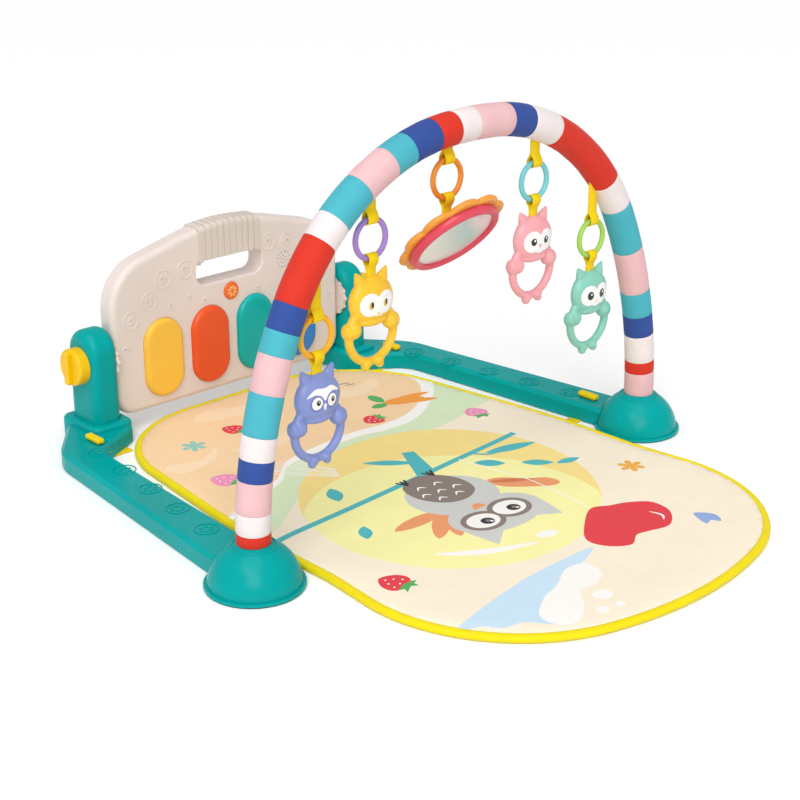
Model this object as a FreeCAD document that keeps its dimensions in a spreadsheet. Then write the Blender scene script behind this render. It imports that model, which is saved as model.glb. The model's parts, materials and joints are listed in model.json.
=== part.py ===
"""Baby play gym: two legs with an upright piano panel, a removable toy arch and a padded mat.

Frame: millimetres, +Z up, origin on the floor under the middle of the gym. +Y points to the
piano panel, +X to the baby's left leg. Every sub-part is one object of the document, and its
Label is its node name.
"""
import FreeCAD, Part
import math
import os
import Sketcher

V = FreeCAD.Vector
X_AXIS = V(1, 0, 0)
Y_AXIS = V(0, 1, 0)
Z_AXIS = V(0, 0, 1)
SIDES = {"left": -1, "right": 1}

doc = FreeCAD.newDocument("play_gym")

# ---------------------------------------------------------------- driving dimensions
SIZES = [
    ("arch_reach", 280, "centre line of an arch foot from the middle"),
    ("arch_line", -63, "Y of the plane the arch stands in"),
    ("arch_foot", 43.5, "Z where the arch leaves its sockets"),
    ("arch_top", 391, "Z of the arch's centre line at the top"),
    ("side_radius", 480, "arch bend at the sides"),
    ("shoulder_radius", 240, "arch bend at the shoulders"),
    ("crown_radius", 450, "arch bend at the crown"),
    ("sleeve_radius", 17, "outside of the padded sleeve"),
    ("tube_radius", 13, "outside of the plastic arch tube"),
    ("tube_bore", 11.4, "inside of the plastic arch tube"),
    ("ferrule_radius", 16, "plug at each arch foot"),
    ("run_gap", 0.05, "radial clearance of a running fit"),
    ("free_gap", 0.3, "gap between neighbours that must not touch"),
    ("dome_radius", 45, "arch socket dome"),
    ("lip_radius", 48, "flared lip of the dome"),
    ("lip_thick", 3, "flared lip of the dome"),
    ("shell_wall", 2.5, "moulded wall"),
    ("floor_gap", 1, "height of the rubber feet"),
    ("rail_height", 20, "moulded height of a leg's rail"),
    ("collar_height", 26, "moulded height of the post's collar"),
    ("rail_roof", 6, "top of a rail, above its hollow"),
    ("plate_thick", 2, "leg base plate"),
    ("boss_radius", 4.5, "screw boss in a leg"),
    ("thread_radius", 1.5, "self-tapping screw"),
    ("medallion_radius", 12.5, "raised ring on a rail"),
    ("medallion_rim", 1.3, "width of that ring"),
    ("medallion_high", 0.75, "how far that ring stands proud"),
    ("strap_wide", 16, "webbing tie between the mat and a leg"),
    ("strap_thick", 0.8, "webbing tie"),
    ("slot_across", 4, "slot for a tie, across the rail"),
    ("slot_along", 24, "slot for a tie, along the rail"),
    ("toggle_wide", 9, "toggle that stops a tie in its slot"),
    ("toggle_long", 26, "toggle, along the rail"),
    ("toggle_thick", 6, "toggle"),
    ("hinge_line", 335, "Y of the panel's tilt axis"),
    ("hinge_height", 92, "Z of the panel's tilt axis"),
    ("post_centre", 185, "X of a post"),
    ("post_width", 35, "post along X"),
    ("post_depth", 53, "post along Y"),
    ("post_top", 131, "Z of the post's round top"),
    ("post_foot", 5, "Z of the post's lower end, inside the leg"),
    ("collar_margin", 9, "collar outside the post"),
    ("bolt_radius", 5, "pivot bolt"),
    ("hub_radius", 25, "scalloped tilt hub"),
    ("hub_thick", 3.2, "scalloped tilt hub"),
    ("knob_radius", 21, "tilt knob"),
    ("knob_thick", 13, "tilt knob without its grip bar"),
    ("knob_bar", 6, "grip bar above the knob's face"),
    ("washer_thick", 0.7, "friction washer"),
    ("panel_half", 166, "half the panel's width"),
    ("panel_drop", 71, "panel below the tilt axis"),
    ("panel_peak", 139.5, "where the panel's two top edges would meet above the tilt axis"),
    ("panel_shoulder", 97, "where its top and side edges would meet above the tilt axis"),
    ("panel_front", 13, "panel in front of the tilt axis"),
    ("panel_back", 13, "panel behind the tilt axis"),
    ("seam", 2, "Y of the shell seam behind the tilt axis"),
    ("panel_boss", 4.25, "screw boss in the panel"),
    ("shank_hole", 1.7, "clearance hole for a panel screw"),
    ("head_hole", 3.4, "counterbore for a panel screw"),
    ("slot_half", 48, "half the hand slot's width"),
    ("slot_low", 60, "bottom of the hand slot above the tilt axis"),
    ("slot_high", 91, "top of the hand slot above the tilt axis"),
    ("key_pitch", 66.5, "between two piano keys"),
    ("key_width", 53, "piano key"),
    ("key_tall", 93, "piano key"),
    ("key_centre", -12, "key centre from the tilt axis"),
    ("key_proud", 6, "key above the panel's face"),
    ("key_root", 5.5, "depth of a key behind the panel's face"),
    ("key_flange", 2, "flange that keeps a key in"),
    ("button_radius", 10.4, "mode button"),
    ("button_height", 45.5, "mode button above the tilt axis"),
    ("button_proud", 2.4, "mode button above the panel's face"),
    ("button_root", 6, "depth of the mode button behind the panel's face"),
    ("speaker_across", 80, "speaker from the middle"),
    ("speaker_height", 67, "speaker above the tilt axis"),
    ("battery_radius", 7.1, "AA cell"),
    ("battery_long", 50, "AA cell"),
    ("nub_radius", 2.6, "AA cell's positive end"),
    ("nub_long", 1.6, "AA cell's positive end"),
    ("lid_thick", 1.5, "battery door"),
    ("mat_thick", 9, "quilted mat"),
    ("binding_wide", 7, "mat edge binding"),
    ("binding_thick", 7.5, "mat edge binding"),
    ("ring_radius", 18.7, "hanging ring, to the middle of its section"),
    ("ring_section", 2.8, "hanging ring's section"),
    ("loop_bore", 4.2, "ribbon bight round a ring"),
    ("ribbon_thick", 1, "folded ribbon"),
    ("ribbon_wide", 13, "ribbon"),
    ("toy_drop", 35, "ring centre down to the toy's top"),
    ("mirror_radius", 40.5, "baby-safe mirror"),
    ("bezel_radius", 49, "mirror bezel"),
    ("petal_radius", 58, "mirror backing with its petals"),
]

sheet = doc.addObject("Spreadsheet::Sheet", "Sizes")
for row, (alias, number, note) in enumerate(SIZES, start=1):
    sheet.set("A%d" % row, str(number))
    sheet.setAlias("A%d" % row, alias)
    sheet.set("B%d" % row, note)
doc.recompute()


def size(alias):
    """A driving dimension, read from the sheet."""
    return float(sheet.get(alias))


# ---------------------------------------------------------------- helpers
parts = []


def keep(obj, label):
    """Register a finished sub-part under its node name."""
    obj.Label = label
    parts.append(obj)
    return obj


def place(obj, x=0, y=0, z=0, axis=Z_AXIS, angle=0):
    """Place an object at a point, turned about an axis."""
    obj.Placement = FreeCAD.Placement(V(x, y, z), FreeCAD.Rotation(axis, angle))
    return obj


def rounded_outline(corners):
    """Lines and tangent arcs of a closed outline given as (x, y, corner radius)."""
    points = [V(x, y, 0) for x, y, _ in corners]
    bends = []
    for i, (_, _, radius) in enumerate(corners):
        here = points[i]
        back = (points[i - 1] - here).normalize()
        ahead = (points[(i + 1) % len(points)] - here).normalize()
        half = back.getAngle(ahead) / 2
        reach = radius / math.tan(half)
        inward = (back + ahead).normalize()
        middle = here + inward * (radius / math.sin(half) - radius)
        bends.append((here + back * reach, middle, here + ahead * reach, radius))
    curves = []
    for i, (entry, middle, leave, radius) in enumerate(bends):
        if radius > 0:
            curves.append(Part.Arc(entry, middle, leave))
        following = bends[(i + 1) % len(bends)][0]
        if following.distanceToPoint(leave) > 1e-6:
            curves.append(Part.LineSegment(leave, following))
    return curves


def inset(corners, distance):
    """The outline (x, y, corner radius) moved inwards by a distance, for a clockwise or
    anticlockwise run of corners."""
    count = len(corners)
    area = 0
    for i in range(count):
        x1, y1, _ = corners[i]
        x2, y2, _ = corners[(i + 1) % count]
        area += x1 * y2 - x2 * y1
    turn = 1 if area > 0 else -1
    moved = []
    for i, (x, y, radius) in enumerate(corners):
        here = V(x, y, 0)
        before = (here - V(corners[i - 1][0], corners[i - 1][1], 0)).normalize()
        after = V(corners[(i + 1) % count][0], corners[(i + 1) % count][1], 0) - here
        after.normalize()
        left_before = V(-before.y, before.x, 0) * turn
        left_after = V(-after.y, after.x, 0) * turn
        slide = distance / (1 + left_before.dot(left_after))
        spot = here + (left_before + left_after) * slide
        convex = before.cross(after).z * turn > 0
        change = -distance if convex else distance
        moved.append((spot.x, spot.y, max(radius + change, 0) if radius > 0 else 0))
    return moved


def rectangle(x_low, x_high, y_low, y_high, radius=0):
    """A rectangle as outline corners."""
    return [(x_low, y_low, radius), (x_high, y_low, radius),
            (x_high, y_high, radius), (x_low, y_high, radius)]


def mirrored(corners, side):
    """The outline corners on the left or the right side."""
    return [(x * side, y, radius) for x, y, radius in corners]


def new_body(label):
    """A PartDesign body registered as a sub-part."""
    return keep(doc.addObject("PartDesign::Body", label), label)


def sketch(body, plane, level=0, outlines=(), circles=()):
    """A sketch on an origin plane, moved along the plane's normal. circles are (x, y, radius
    expression)."""
    drawing = body.newObject("Sketcher::SketchObject", body.Name + "_sketch")
    origin = [f for f in body.Origin.OriginFeatures if f.Role == plane][0]
    drawing.AttachmentSupport = [(origin, "")]
    drawing.MapMode = "FlatFace"
    drawing.AttachmentOffset = FreeCAD.Placement(V(0, 0, level), FreeCAD.Rotation())
    for corners in outlines:
        drawing.addGeometry(rounded_outline(corners), False)
    for x, y, radius in circles:
        index = drawing.addGeometry(Part.Circle(V(x, y, 0), Z_AXIS, 1), False)
        limit = drawing.addConstraint(Sketcher.Constraint("Radius", index, 1.0))
        drawing.setExpression("Constraints[%d]" % limit, radius)
    return drawing


def feature(body, kind, profile, **settings):
    """A sketch-based feature. Settings given as text are expressions."""
    made = body.newObject("PartDesign::" + kind, body.Name + "_" + kind.lower())
    made.Profile = profile
    for name, value in settings.items():
        if isinstance(value, str) and name != "Type":
            made.setExpression(name, value)
        else:
            setattr(made, name, value)
    profile.Visibility = False
    return made


def cut(body, profile, **settings):
    """A pocket that must remove material."""
    doc.recompute()
    before = body.Shape.Volume
    made = feature(body, "Pocket", profile, **settings)
    doc.recompute()
    if not body.Shape.Volume < before - 1e-3:
        raise RuntimeError("%s: a pocket cut nothing" % body.Label)
    return made


def dress(body, kind, measure, test):
    """A fillet or chamfer on the edges of the body's tip that pass a test."""
    doc.recompute()
    tip = body.Tip
    names = ["Edge%d" % (i + 1) for i, edge in enumerate(tip.Shape.Edges) if test(edge)]
    if not names:
        raise RuntimeError("%s: no edge to dress" % body.Label)
    made = body.newObject("PartDesign::" + kind, body.Name + "_" + kind.lower())
    made.Base = (tip, names)
    made.setExpression("Radius" if kind == "Fillet" else "Size", measure)
    doc.recompute()
    return made


def flat_at(axis, level, tolerance=1e-4):
    """Test for edges that lie in the plane where a coordinate has a value."""
    def test(edge):
        box = edge.BoundBox
        low, high = {"x": (box.XMin, box.XMax), "y": (box.YMin, box.YMax),
                     "z": (box.ZMin, box.ZMax)}[axis]
        return abs(low - level) < tolerance and abs(high - level) < tolerance
    return test


def primitive(kind, name, **settings):
    """A Part primitive. Settings given as text are expressions."""
    made = doc.addObject("Part::" + kind, name)
    for setting, value in settings.items():
        if isinstance(value, str):
            made.setExpression(setting, value)
        else:
            setattr(made, setting, value)
    return made


def joined(label, shapes):
    """Several document objects fused into one sub-part."""
    made = doc.addObject("Part::MultiFuse", label)
    made.Shapes = shapes
    made.Refine = True
    return keep(made, label)


def direct(label, shape, placement=None):
    """A sub-part whose shape is worked out here from the sheet's sizes."""
    made = doc.addObject("Part::Feature", label)
    made.Shape = shape
    if placement is not None:
        made.Placement = placement
    return keep(made, label)


def face_of(corners):
    """A flat face in XY inside an outline."""
    edges = [curve.toShape() for curve in rounded_outline(corners)]
    return Part.Face(Part.Wire(edges))


def cylinder(radius, length, start, axis=Z_AXIS):
    """A solid cylinder from a point along an axis."""
    return Part.makeCylinder(radius, length, start, axis)


# ---------------------------------------------------------------- legs
RAIL_FRONT_OUT = 304
RAIL_FRONT_IN = 252
STRAP_SLOTS = {"left": [(222, 285)], "right": [(222, 285), (268, 0)]}
MEDALLIONS = 5
MEDALLION_FIRST = (267, 27)
MEDALLION_STEP = (-8.2, 57.5)
PETALS_EACH = 6
POST_FIT = 0.1
SOCKET_FLOOR = 9
LEG_SCREWS = [(273, 20), (262, 130), (247, 243), (222, 320)]
FOOT_PADS = [(276, 45), (262, 165), (243, 275), (200, 352)]


def leg_outline():
    """Plan outline of the right leg: a straight rail, a bend, and the foot under the post."""
    line = size("arch_line")
    inner = size("post_centre") - size("post_width") / 2 - size("collar_margin")
    return [(RAIL_FRONT_IN, line, 0), (RAIL_FRONT_OUT, line, 0), (264, 290, 66),
            (214, 352, 12), (inner + 4, 352, 0), (inner + 4, 300, 0), (172, 294, 8),
            (227, 264, 38)]


def collar_outline(margin):
    """Plan outline of the collar round the right post."""
    half_x = size("post_width") / 2 + margin
    half_y = size("post_depth") / 2 + margin
    x, y = size("post_centre"), size("hinge_line")
    return rectangle(x - half_x, x + half_x, y - half_y, y + half_y, 11)


def slot_outline(x, y):
    """Plan outline of a strap slot."""
    half_x = size("slot_across") / 2
    half_y = size("slot_along") / 2
    return rectangle(x - half_x, x + half_x, y - half_y, y + half_y, 1)


def groove_dome(body, side):
    """Cut away the room that the arch socket's dome and its lip take, with a small gap."""
    gap, low = size("free_gap"), size("floor_gap")
    lip = size("lip_radius") + gap
    ball = size("dome_radius") + gap
    step = size("lip_thick") + gap
    ceiling = size("rail_height") + size("shell_wall")

    def across(rise):
        return math.sqrt(ball * ball - rise * rise)

    drawing = sketch(body, "XZ_Plane")
    drawing.AttachmentOffset = FreeCAD.Placement(
        V(size("arch_reach") * side, low, -size("arch_line")), FreeCAD.Rotation())
    drawing.addGeometry([
        Part.LineSegment(V(0, -low, 0), V(lip, -low, 0)),
        Part.LineSegment(V(lip, -low, 0), V(lip, step, 0)),
        Part.LineSegment(V(lip, step, 0), V(across(step), step, 0)),
        Part.Arc(V(across(step), step, 0), V(across(ceiling / 2), ceiling / 2, 0),
                 V(across(ceiling), ceiling, 0)),
        Part.LineSegment(V(across(ceiling), ceiling, 0), V(0, ceiling, 0)),
        Part.LineSegment(V(0, ceiling, 0), V(0, -low, 0)),
    ], False)
    room = body.newObject("PartDesign::Groove", body.Name + "_groove")
    room.Profile = drawing
    room.ReferenceAxis = (drawing, ["V_Axis"])
    room.Angle = 360
    drawing.Visibility = False


def medallion_spots(side):
    """Plan centres of the raised rings along a rail."""
    x, y = MEDALLION_FIRST
    step_x, step_y = MEDALLION_STEP
    return [((x + i * step_x) * side, y + i * step_y) for i in range(MEDALLIONS)]


def add_medallions(body, side):
    """Raised rings along the rail, each round a six-petalled flower."""
    top = size("floor_gap") + size("rail_height")
    rings, flowers = [], []
    for x, y in medallion_spots(side):
        rings += [(x, y, "Sizes.medallion_radius"),
                  (x, y, "Sizes.medallion_radius - Sizes.medallion_rim")]
        for i in range(PETALS_EACH):
            angle = 2 * math.pi * i / PETALS_EACH
            reach = size("medallion_radius") * 0.45
            flowers.append((x + reach * math.cos(angle), y + reach * math.sin(angle),
                            "Sizes.medallion_radius * 0.15"))
    for circles in (rings, flowers):
        raised = sketch(body, "XY_Plane", top, [], circles)
        feature(body, "Pad", raised, Length="Sizes.medallion_high")


def make_leg(side_name, side):
    """Moulded leg: rail, post collar, strap slots, screw bosses and top medallions."""
    wall = size("shell_wall")
    low = size("floor_gap")
    top = low + size("rail_height")
    body = new_body("leg_" + side_name)
    rail = sketch(body, "XY_Plane", low, [mirrored(leg_outline(), side)])
    feature(body, "Pad", rail, Length="Sizes.rail_height")
    dress(body, "Chamfer", "Sizes.shell_wall * 1.6", flat_at("z", top))
    collar = sketch(body, "XY_Plane", low, [mirrored(collar_outline(size("collar_margin")), side)])
    feature(body, "Pad", collar, Length="Sizes.collar_height")
    dress(body, "Fillet", "Sizes.shell_wall * 2", flat_at("z", low + size("collar_height")))

    socket = sketch(body, "XY_Plane", low + size("collar_height"),
                    [mirrored(collar_outline(POST_FIT), side)])
    cut(body, socket, Type="ThroughAll")
    hollow = sketch(body, "XY_Plane", top - size("rail_roof"),
                    [mirrored(inset(leg_outline(), wall), side)],
                    [(x * side, y, "Sizes.boss_radius") for x, y in LEG_SCREWS])
    cut(body, hollow, Type="ThroughAll")
    screws = sketch(body, "XY_Plane", top - size("rail_roof"), [],
                    [(x * side, y, "Sizes.thread_radius") for x, y in LEG_SCREWS])
    cut(body, screws, Type="ThroughAll")
    plate_room = sketch(body, "XY_Plane", low + size("plate_thick") + size("free_gap"),
                        [mirrored(inset(leg_outline(), wall), side)])
    cut(body, plate_room, Type="ThroughAll")
    slots = sketch(body, "XY_Plane", top,
                   [mirrored(slot_outline(x, y), side) for x, y in STRAP_SLOTS[side_name]])
    cut(body, slots, Type="ThroughAll")
    groove_dome(body, side)
    add_medallions(body, side)


def make_leg_base(side_name, side):
    """Base plate that closes a leg from below."""
    margin = size("shell_wall") + size("free_gap")
    above = size("floor_gap") + size("rail_height")
    body = new_body("leg_base_" + side_name)
    plate = sketch(body, "XY_Plane", size("floor_gap"),
                   [mirrored(inset(leg_outline(), margin), side)],
                   [(x * side, y, "Sizes.thread_radius + Sizes.run_gap") for x, y in LEG_SCREWS])
    feature(body, "Pad", plate, Length="Sizes.plate_thick")
    openings = sketch(body, "XY_Plane", above,
                      [mirrored(slot_outline(x, y), side) for x, y in STRAP_SLOTS[side_name]])
    cut(body, openings, Type="ThroughAll")
    bite = sketch(body, "XY_Plane", above, [],
                  [(size("arch_reach") * side, size("arch_line"),
                    "Sizes.lip_radius + Sizes.free_gap * 2")])
    cut(body, bite, Type="ThroughAll")
    post = sketch(body, "XY_Plane", above, [mirrored(collar_outline(POST_FIT), side)])
    cut(body, post, Type="ThroughAll")


def make_leg_screws():
    """Pan-head screws that hold the base plates to the legs' bosses."""
    low = size("floor_gap")
    head_radius, head_thick, shank_long = 3.2, 0.7, 11
    screws = []
    for side in SIDES.values():
        for x, y in LEG_SCREWS:
            head = cylinder(head_radius, head_thick, V(x * side, y, low - head_thick))
            shank = cylinder(size("thread_radius") - size("run_gap"), shank_long,
                             V(x * side, y, low))
            screws.append(head.fuse(shank).removeSplitter())
    direct("leg_screws", Part.makeCompound(screws))


def make_rubber_feet():
    """Glued rubber pads under the legs and a rubber ring under each dome."""
    height = size("floor_gap")
    pad_radius = 7
    pads = []
    for side in SIDES.values():
        for x, y in FOOT_PADS:
            pads.append(cylinder(pad_radius, height, V(x * side, y, 0)))
        centre = V(size("arch_reach") * side, size("arch_line"), 0)
        ring = cylinder(size("lip_radius") - 0.5, height, centre)
        pads.append(ring.cut(cylinder(size("dome_radius") - 2, height, centre)))
    direct("rubber_feet", Part.makeCompound(pads))


def make_dome(side_name, side):
    """Hemispherical arch socket with a flared lip, turned about its own axis."""
    wall = size("shell_wall")
    outer = size("dome_radius")
    lip = size("lip_radius")
    bore = size("ferrule_radius") + size("run_gap")
    inner = outer - wall
    tube = bore + wall
    lip_top = size("lip_thick")
    floor_low, floor_top = SOCKET_FLOOR - 2, SOCKET_FLOOR

    def rise(radius, across):
        return math.sqrt(radius * radius - across * across)

    lip_in = rise(outer, lip_top)
    body = new_body("dome_" + side_name)
    drawing = sketch(body, "XZ_Plane")
    knee = math.radians(40)
    path = [
        Part.LineSegment(V(lip, 0, 0), V(lip, lip_top, 0)),
        Part.LineSegment(V(lip, lip_top, 0), V(lip_in, lip_top, 0)),
        Part.Arc(V(lip_in, lip_top, 0), V(outer * math.cos(knee), outer * math.sin(knee), 0),
                 V(bore, rise(outer, bore), 0)),
        Part.LineSegment(V(bore, rise(outer, bore), 0), V(bore, floor_top, 0)),
        Part.LineSegment(V(bore, floor_top, 0), V(0, floor_top, 0)),
        Part.LineSegment(V(0, floor_top, 0), V(0, floor_low, 0)),
        Part.LineSegment(V(0, floor_low, 0), V(tube, floor_low, 0)),
        Part.LineSegment(V(tube, floor_low, 0), V(tube, rise(inner, tube), 0)),
        Part.Arc(V(tube, rise(inner, tube), 0),
                 V(inner * math.cos(knee), inner * math.sin(knee), 0), V(inner, 0, 0)),
        Part.LineSegment(V(inner, 0, 0), V(lip, 0, 0)),
    ]
    drawing.addGeometry(path, False)
    turned = body.newObject("PartDesign::Revolution", body.Name + "_revolution")
    turned.Profile = drawing
    turned.ReferenceAxis = (drawing, ["V_Axis"])
    turned.Angle = 360
    drawing.Visibility = False
    place(body, size("arch_reach") * side, size("arch_line"), size("floor_gap"))


def make_post(side_name, side):
    """Upright post with a round top, a cross bore and a recess for the tilt hub."""
    width = size("post_width")
    depth = size("post_depth")
    top = size("post_top") - size("hinge_height")
    bottom = size("post_foot") - size("hinge_height")
    edge_round = "Sizes.post_width * 0.32"
    body = new_body("post_" + side_name)
    outline = sketch(body, "YZ_Plane", -width / 2,
                     [[(-depth / 2, bottom, 0), (depth / 2, bottom, 0),
                       (depth / 2, top, depth / 2 - 0.01), (-depth / 2, top, depth / 2 - 0.01)]])
    feature(body, "Pad", outline, Length="Sizes.post_width")
    dress(body, "Fillet", edge_round,
          lambda edge: (flat_at("x", -width / 2)(edge) or flat_at("x", width / 2)(edge))
          and edge.BoundBox.ZMax > bottom + 1)
    wall = size("shell_wall") * 1.2
    core = sketch(body, "XY_Plane", -size("hub_radius") - 6,
                  [rectangle(wall - width / 2, width / 2 - wall, wall - depth / 2,
                             depth / 2 - wall, 8)])
    cut(body, core, Type="ThroughAll")
    bore = sketch(body, "YZ_Plane", width / 2 + 1, [],
                  [(0, 0, "Sizes.bolt_radius + Sizes.run_gap")])
    cut(body, bore, Type="ThroughAll")
    face = -side * width / 2
    if side > 0:
        recess = sketch(body, "YZ_Plane", face + size("hub_thick"), [],
                        [(0, 0, "Sizes.hub_radius + 1")])
        cut(body, recess, Length="Sizes.hub_thick")
    else:
        recess = sketch(body, "YZ_Plane", face, [], [(0, 0, "Sizes.hub_radius + 1")])
        cut(body, recess, Length="Sizes.hub_thick")
    place(body, size("post_centre") * side, size("hinge_line"), size("hinge_height"))


def make_legs():
    for side_name, side in SIDES.items():
        make_leg(side_name, side)
        make_leg_base(side_name, side)
        make_dome(side_name, side)
        make_post(side_name, side)
    make_leg_screws()
    make_rubber_feet()


# ---------------------------------------------------------------- tilt hinge
def make_hinge():
    """Pivot bolts, scalloped hubs on the panel, friction washers and clamping knobs."""
    y, z = size("hinge_line"), size("hinge_height")
    panel = size("panel_half")
    post_in = size("post_centre") - size("post_width") / 2
    post_out = size("post_centre") + size("post_width") / 2
    recess = post_in + size("hub_thick")
    washer = size("washer_thick")
    hub_end = recess - washer - 0.1
    bolt = size("bolt_radius")
    head_radius, head_thick = 9, 4
    cap = 3
    bolt_end = post_out + size("knob_thick") - cap
    head_in = panel - size("shell_wall") - head_thick
    lobes, lobe_radius = 14, 3

    bolts, hubs, washers = [], [], []
    for side in SIDES.values():
        out = V(side, 0, 0)

        def at(x, side=side):
            return V(side * x, y, z)

        head = cylinder(head_radius, head_thick, at(head_in), out)
        bolts.append(head.fuse(cylinder(bolt, bolt_end - head_in, at(head_in), out)))
        hub = cylinder(size("hub_radius") - 2, hub_end - panel, at(panel), out)
        for i in range(lobes):
            angle = 2 * math.pi * i / lobes
            reach = size("hub_radius") - lobe_radius
            spot = at(panel) + V(0, math.cos(angle), math.sin(angle)) * reach
            hub = hub.fuse(cylinder(lobe_radius, hub_end - panel, spot, out))
        hubs.append(hub.cut(cylinder(bolt, recess - panel, at(panel), out)).removeSplitter())
        ring = cylinder(size("hub_radius") - lobe_radius, washer, at(recess - washer), out)
        washers.append(ring.cut(cylinder(bolt + size("free_gap"), recess, V(0, y, z), out)))
    direct("pivot_bolts", Part.makeCompound(bolts))
    direct("tilt_hubs", Part.makeCompound(hubs))
    direct("friction_washers", Part.makeCompound(washers))

    knob_radius, knob_thick = size("knob_radius"), size("knob_thick")
    disc = cylinder(knob_radius, knob_thick, V(0, 0, 0))
    disc = disc.makeFillet(3, [e for e in disc.Edges if flat_at("z", knob_thick)(e)])
    bar_long, bar_wide = 1.8 * knob_radius, 0.42 * knob_radius
    bar_tall = knob_thick + size("knob_bar")
    bar = Part.makeBox(bar_long, bar_wide, bar_tall, V(-bar_long / 2, -bar_wide / 2, 0))
    bar = bar.makeFillet(2.5, [e for e in bar.Edges if e.BoundBox.ZMax > 1])
    bore = cylinder(bolt + size("run_gap"), knob_thick - size("shell_wall"), V(0, 0, 0))
    knob = disc.fuse(bar).cut(bore).removeSplitter()
    for side_name, side in SIDES.items():
        home = FreeCAD.Placement(V(side * (post_out + size("free_gap")), y, z),
                                 FreeCAD.Rotation(Y_AXIS, 90 * side))
        direct("knob_" + side_name, knob, home)


# ---------------------------------------------------------------- piano panel
BOSSES = [(-150, -42), (150, -42), (-150, 33), (150, 33), (0, -62), (-60, 46), (60, 46)]
BATTERY_BOX = (-127, -73, 42, 87)
SWITCH_SPOT = (116, 44)
SWITCH_SLOT = (8, 3)
HEAD_SINK = 2
DOOR_LEDGE = 3
GRILLE_HOLE = "0.9"
GRILLE_RINGS = [(4.5, 6), (9.5, 12)]
KEYS = 4


def panel_home():
    """Placement of everything that is drawn about the tilt axis."""
    return FreeCAD.Placement(V(0, size("hinge_line"), size("hinge_height")), FreeCAD.Rotation())


def panel_outline():
    """Front view of the panel about its tilt axis: flat bottom, arched top."""
    half = size("panel_half")
    low, shoulder, peak = -size("panel_drop"), size("panel_shoulder"), size("panel_peak")
    foot_round, shoulder_round, peak_round = 26, 58, 300
    return [(-half, low, foot_round), (half, low, foot_round), (half, shoulder, shoulder_round),
            (0, peak, peak_round), (-half, shoulder, shoulder_round)]


def hand_slot(margin=0):
    """Front view of the hand slot."""
    half = size("slot_half") + margin
    return rectangle(-half, half, size("slot_low") - margin, size("slot_high") + margin,
                     13 + margin)


def stadium(x, z, width, tall):
    """A stadium outline about a centre."""
    radius = width / 2 - 0.01
    return rectangle(x - width / 2, x + width / 2, z - tall / 2, z + tall / 2, radius)


def key_across(number):
    """X of a key, counted from the left."""
    return (number - (KEYS - 1) / 2) * size("key_pitch")


def boss_circles(radius):
    return [(x, z, radius) for x, z in BOSSES]


def axle_holes(body):
    """Holes through a shell's side walls for the pivot bolts."""
    axle = sketch(body, "YZ_Plane", 0, [], [(0, 0, "Sizes.bolt_radius + Sizes.free_gap")])
    cut(body, axle, Type="ThroughAll", Midplane=True)


def make_panel_front():
    """Front shell with key windows, hand slot rim, button hole and speaker holes."""
    wall = size("shell_wall")
    front, seam = -size("panel_front"), size("seam")
    body = new_body("panel_front")
    body.Placement = panel_home()
    outline = sketch(body, "XZ_Plane", -seam, [panel_outline()])
    feature(body, "Pad", outline, Length="Sizes.panel_front + Sizes.seam")
    dress(body, "Fillet", "Sizes.panel_front * 0.55", flat_at("y", front))
    hollow = sketch(body, "XZ_Plane", -(front + wall),
                    [inset(panel_outline(), wall), hand_slot(wall)],
                    boss_circles("Sizes.panel_boss"))
    cut(body, hollow, Length="Sizes.panel_front + Sizes.seam")
    pilots = sketch(body, "XZ_Plane", -(front + wall), [], boss_circles("Sizes.thread_radius"))
    cut(body, pilots, Length="Sizes.panel_front + Sizes.seam")
    slot = sketch(body, "XZ_Plane", -(front - 1), [hand_slot()])
    cut(body, slot, Type="ThroughAll")
    gap = size("free_gap") * 2
    windows = [stadium(key_across(i), size("key_centre"), size("key_width") + gap,
                       size("key_tall") + gap) for i in range(KEYS)]
    keys = sketch(body, "XZ_Plane", -(front - 1), windows,
                  [(0, size("button_height"), "Sizes.button_radius + Sizes.free_gap")])
    cut(body, keys, Type="ThroughAll")
    holes = [(size("speaker_across"), size("speaker_height"), GRILLE_HOLE)]
    for ring, count in GRILLE_RINGS:
        for i in range(count):
            angle = 2 * math.pi * (i + 0.5) / count
            holes.append((size("speaker_across") + ring * math.cos(angle),
                          size("speaker_height") + ring * math.sin(angle), GRILLE_HOLE))
    grille = sketch(body, "XZ_Plane", -(front - 1), [], holes)
    cut(body, grille, Type="ThroughAll")
    axle_holes(body)
    dress(body, "Fillet", "Sizes.shell_wall * 0.9",
          lambda edge: flat_at("y", front)(edge) and edge.BoundBox.ZMin > size("slot_low") - 1
          and edge.BoundBox.ZMax < size("slot_high") + 1
          and abs(edge.BoundBox.Center.x) < size("slot_half") + 1)


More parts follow.
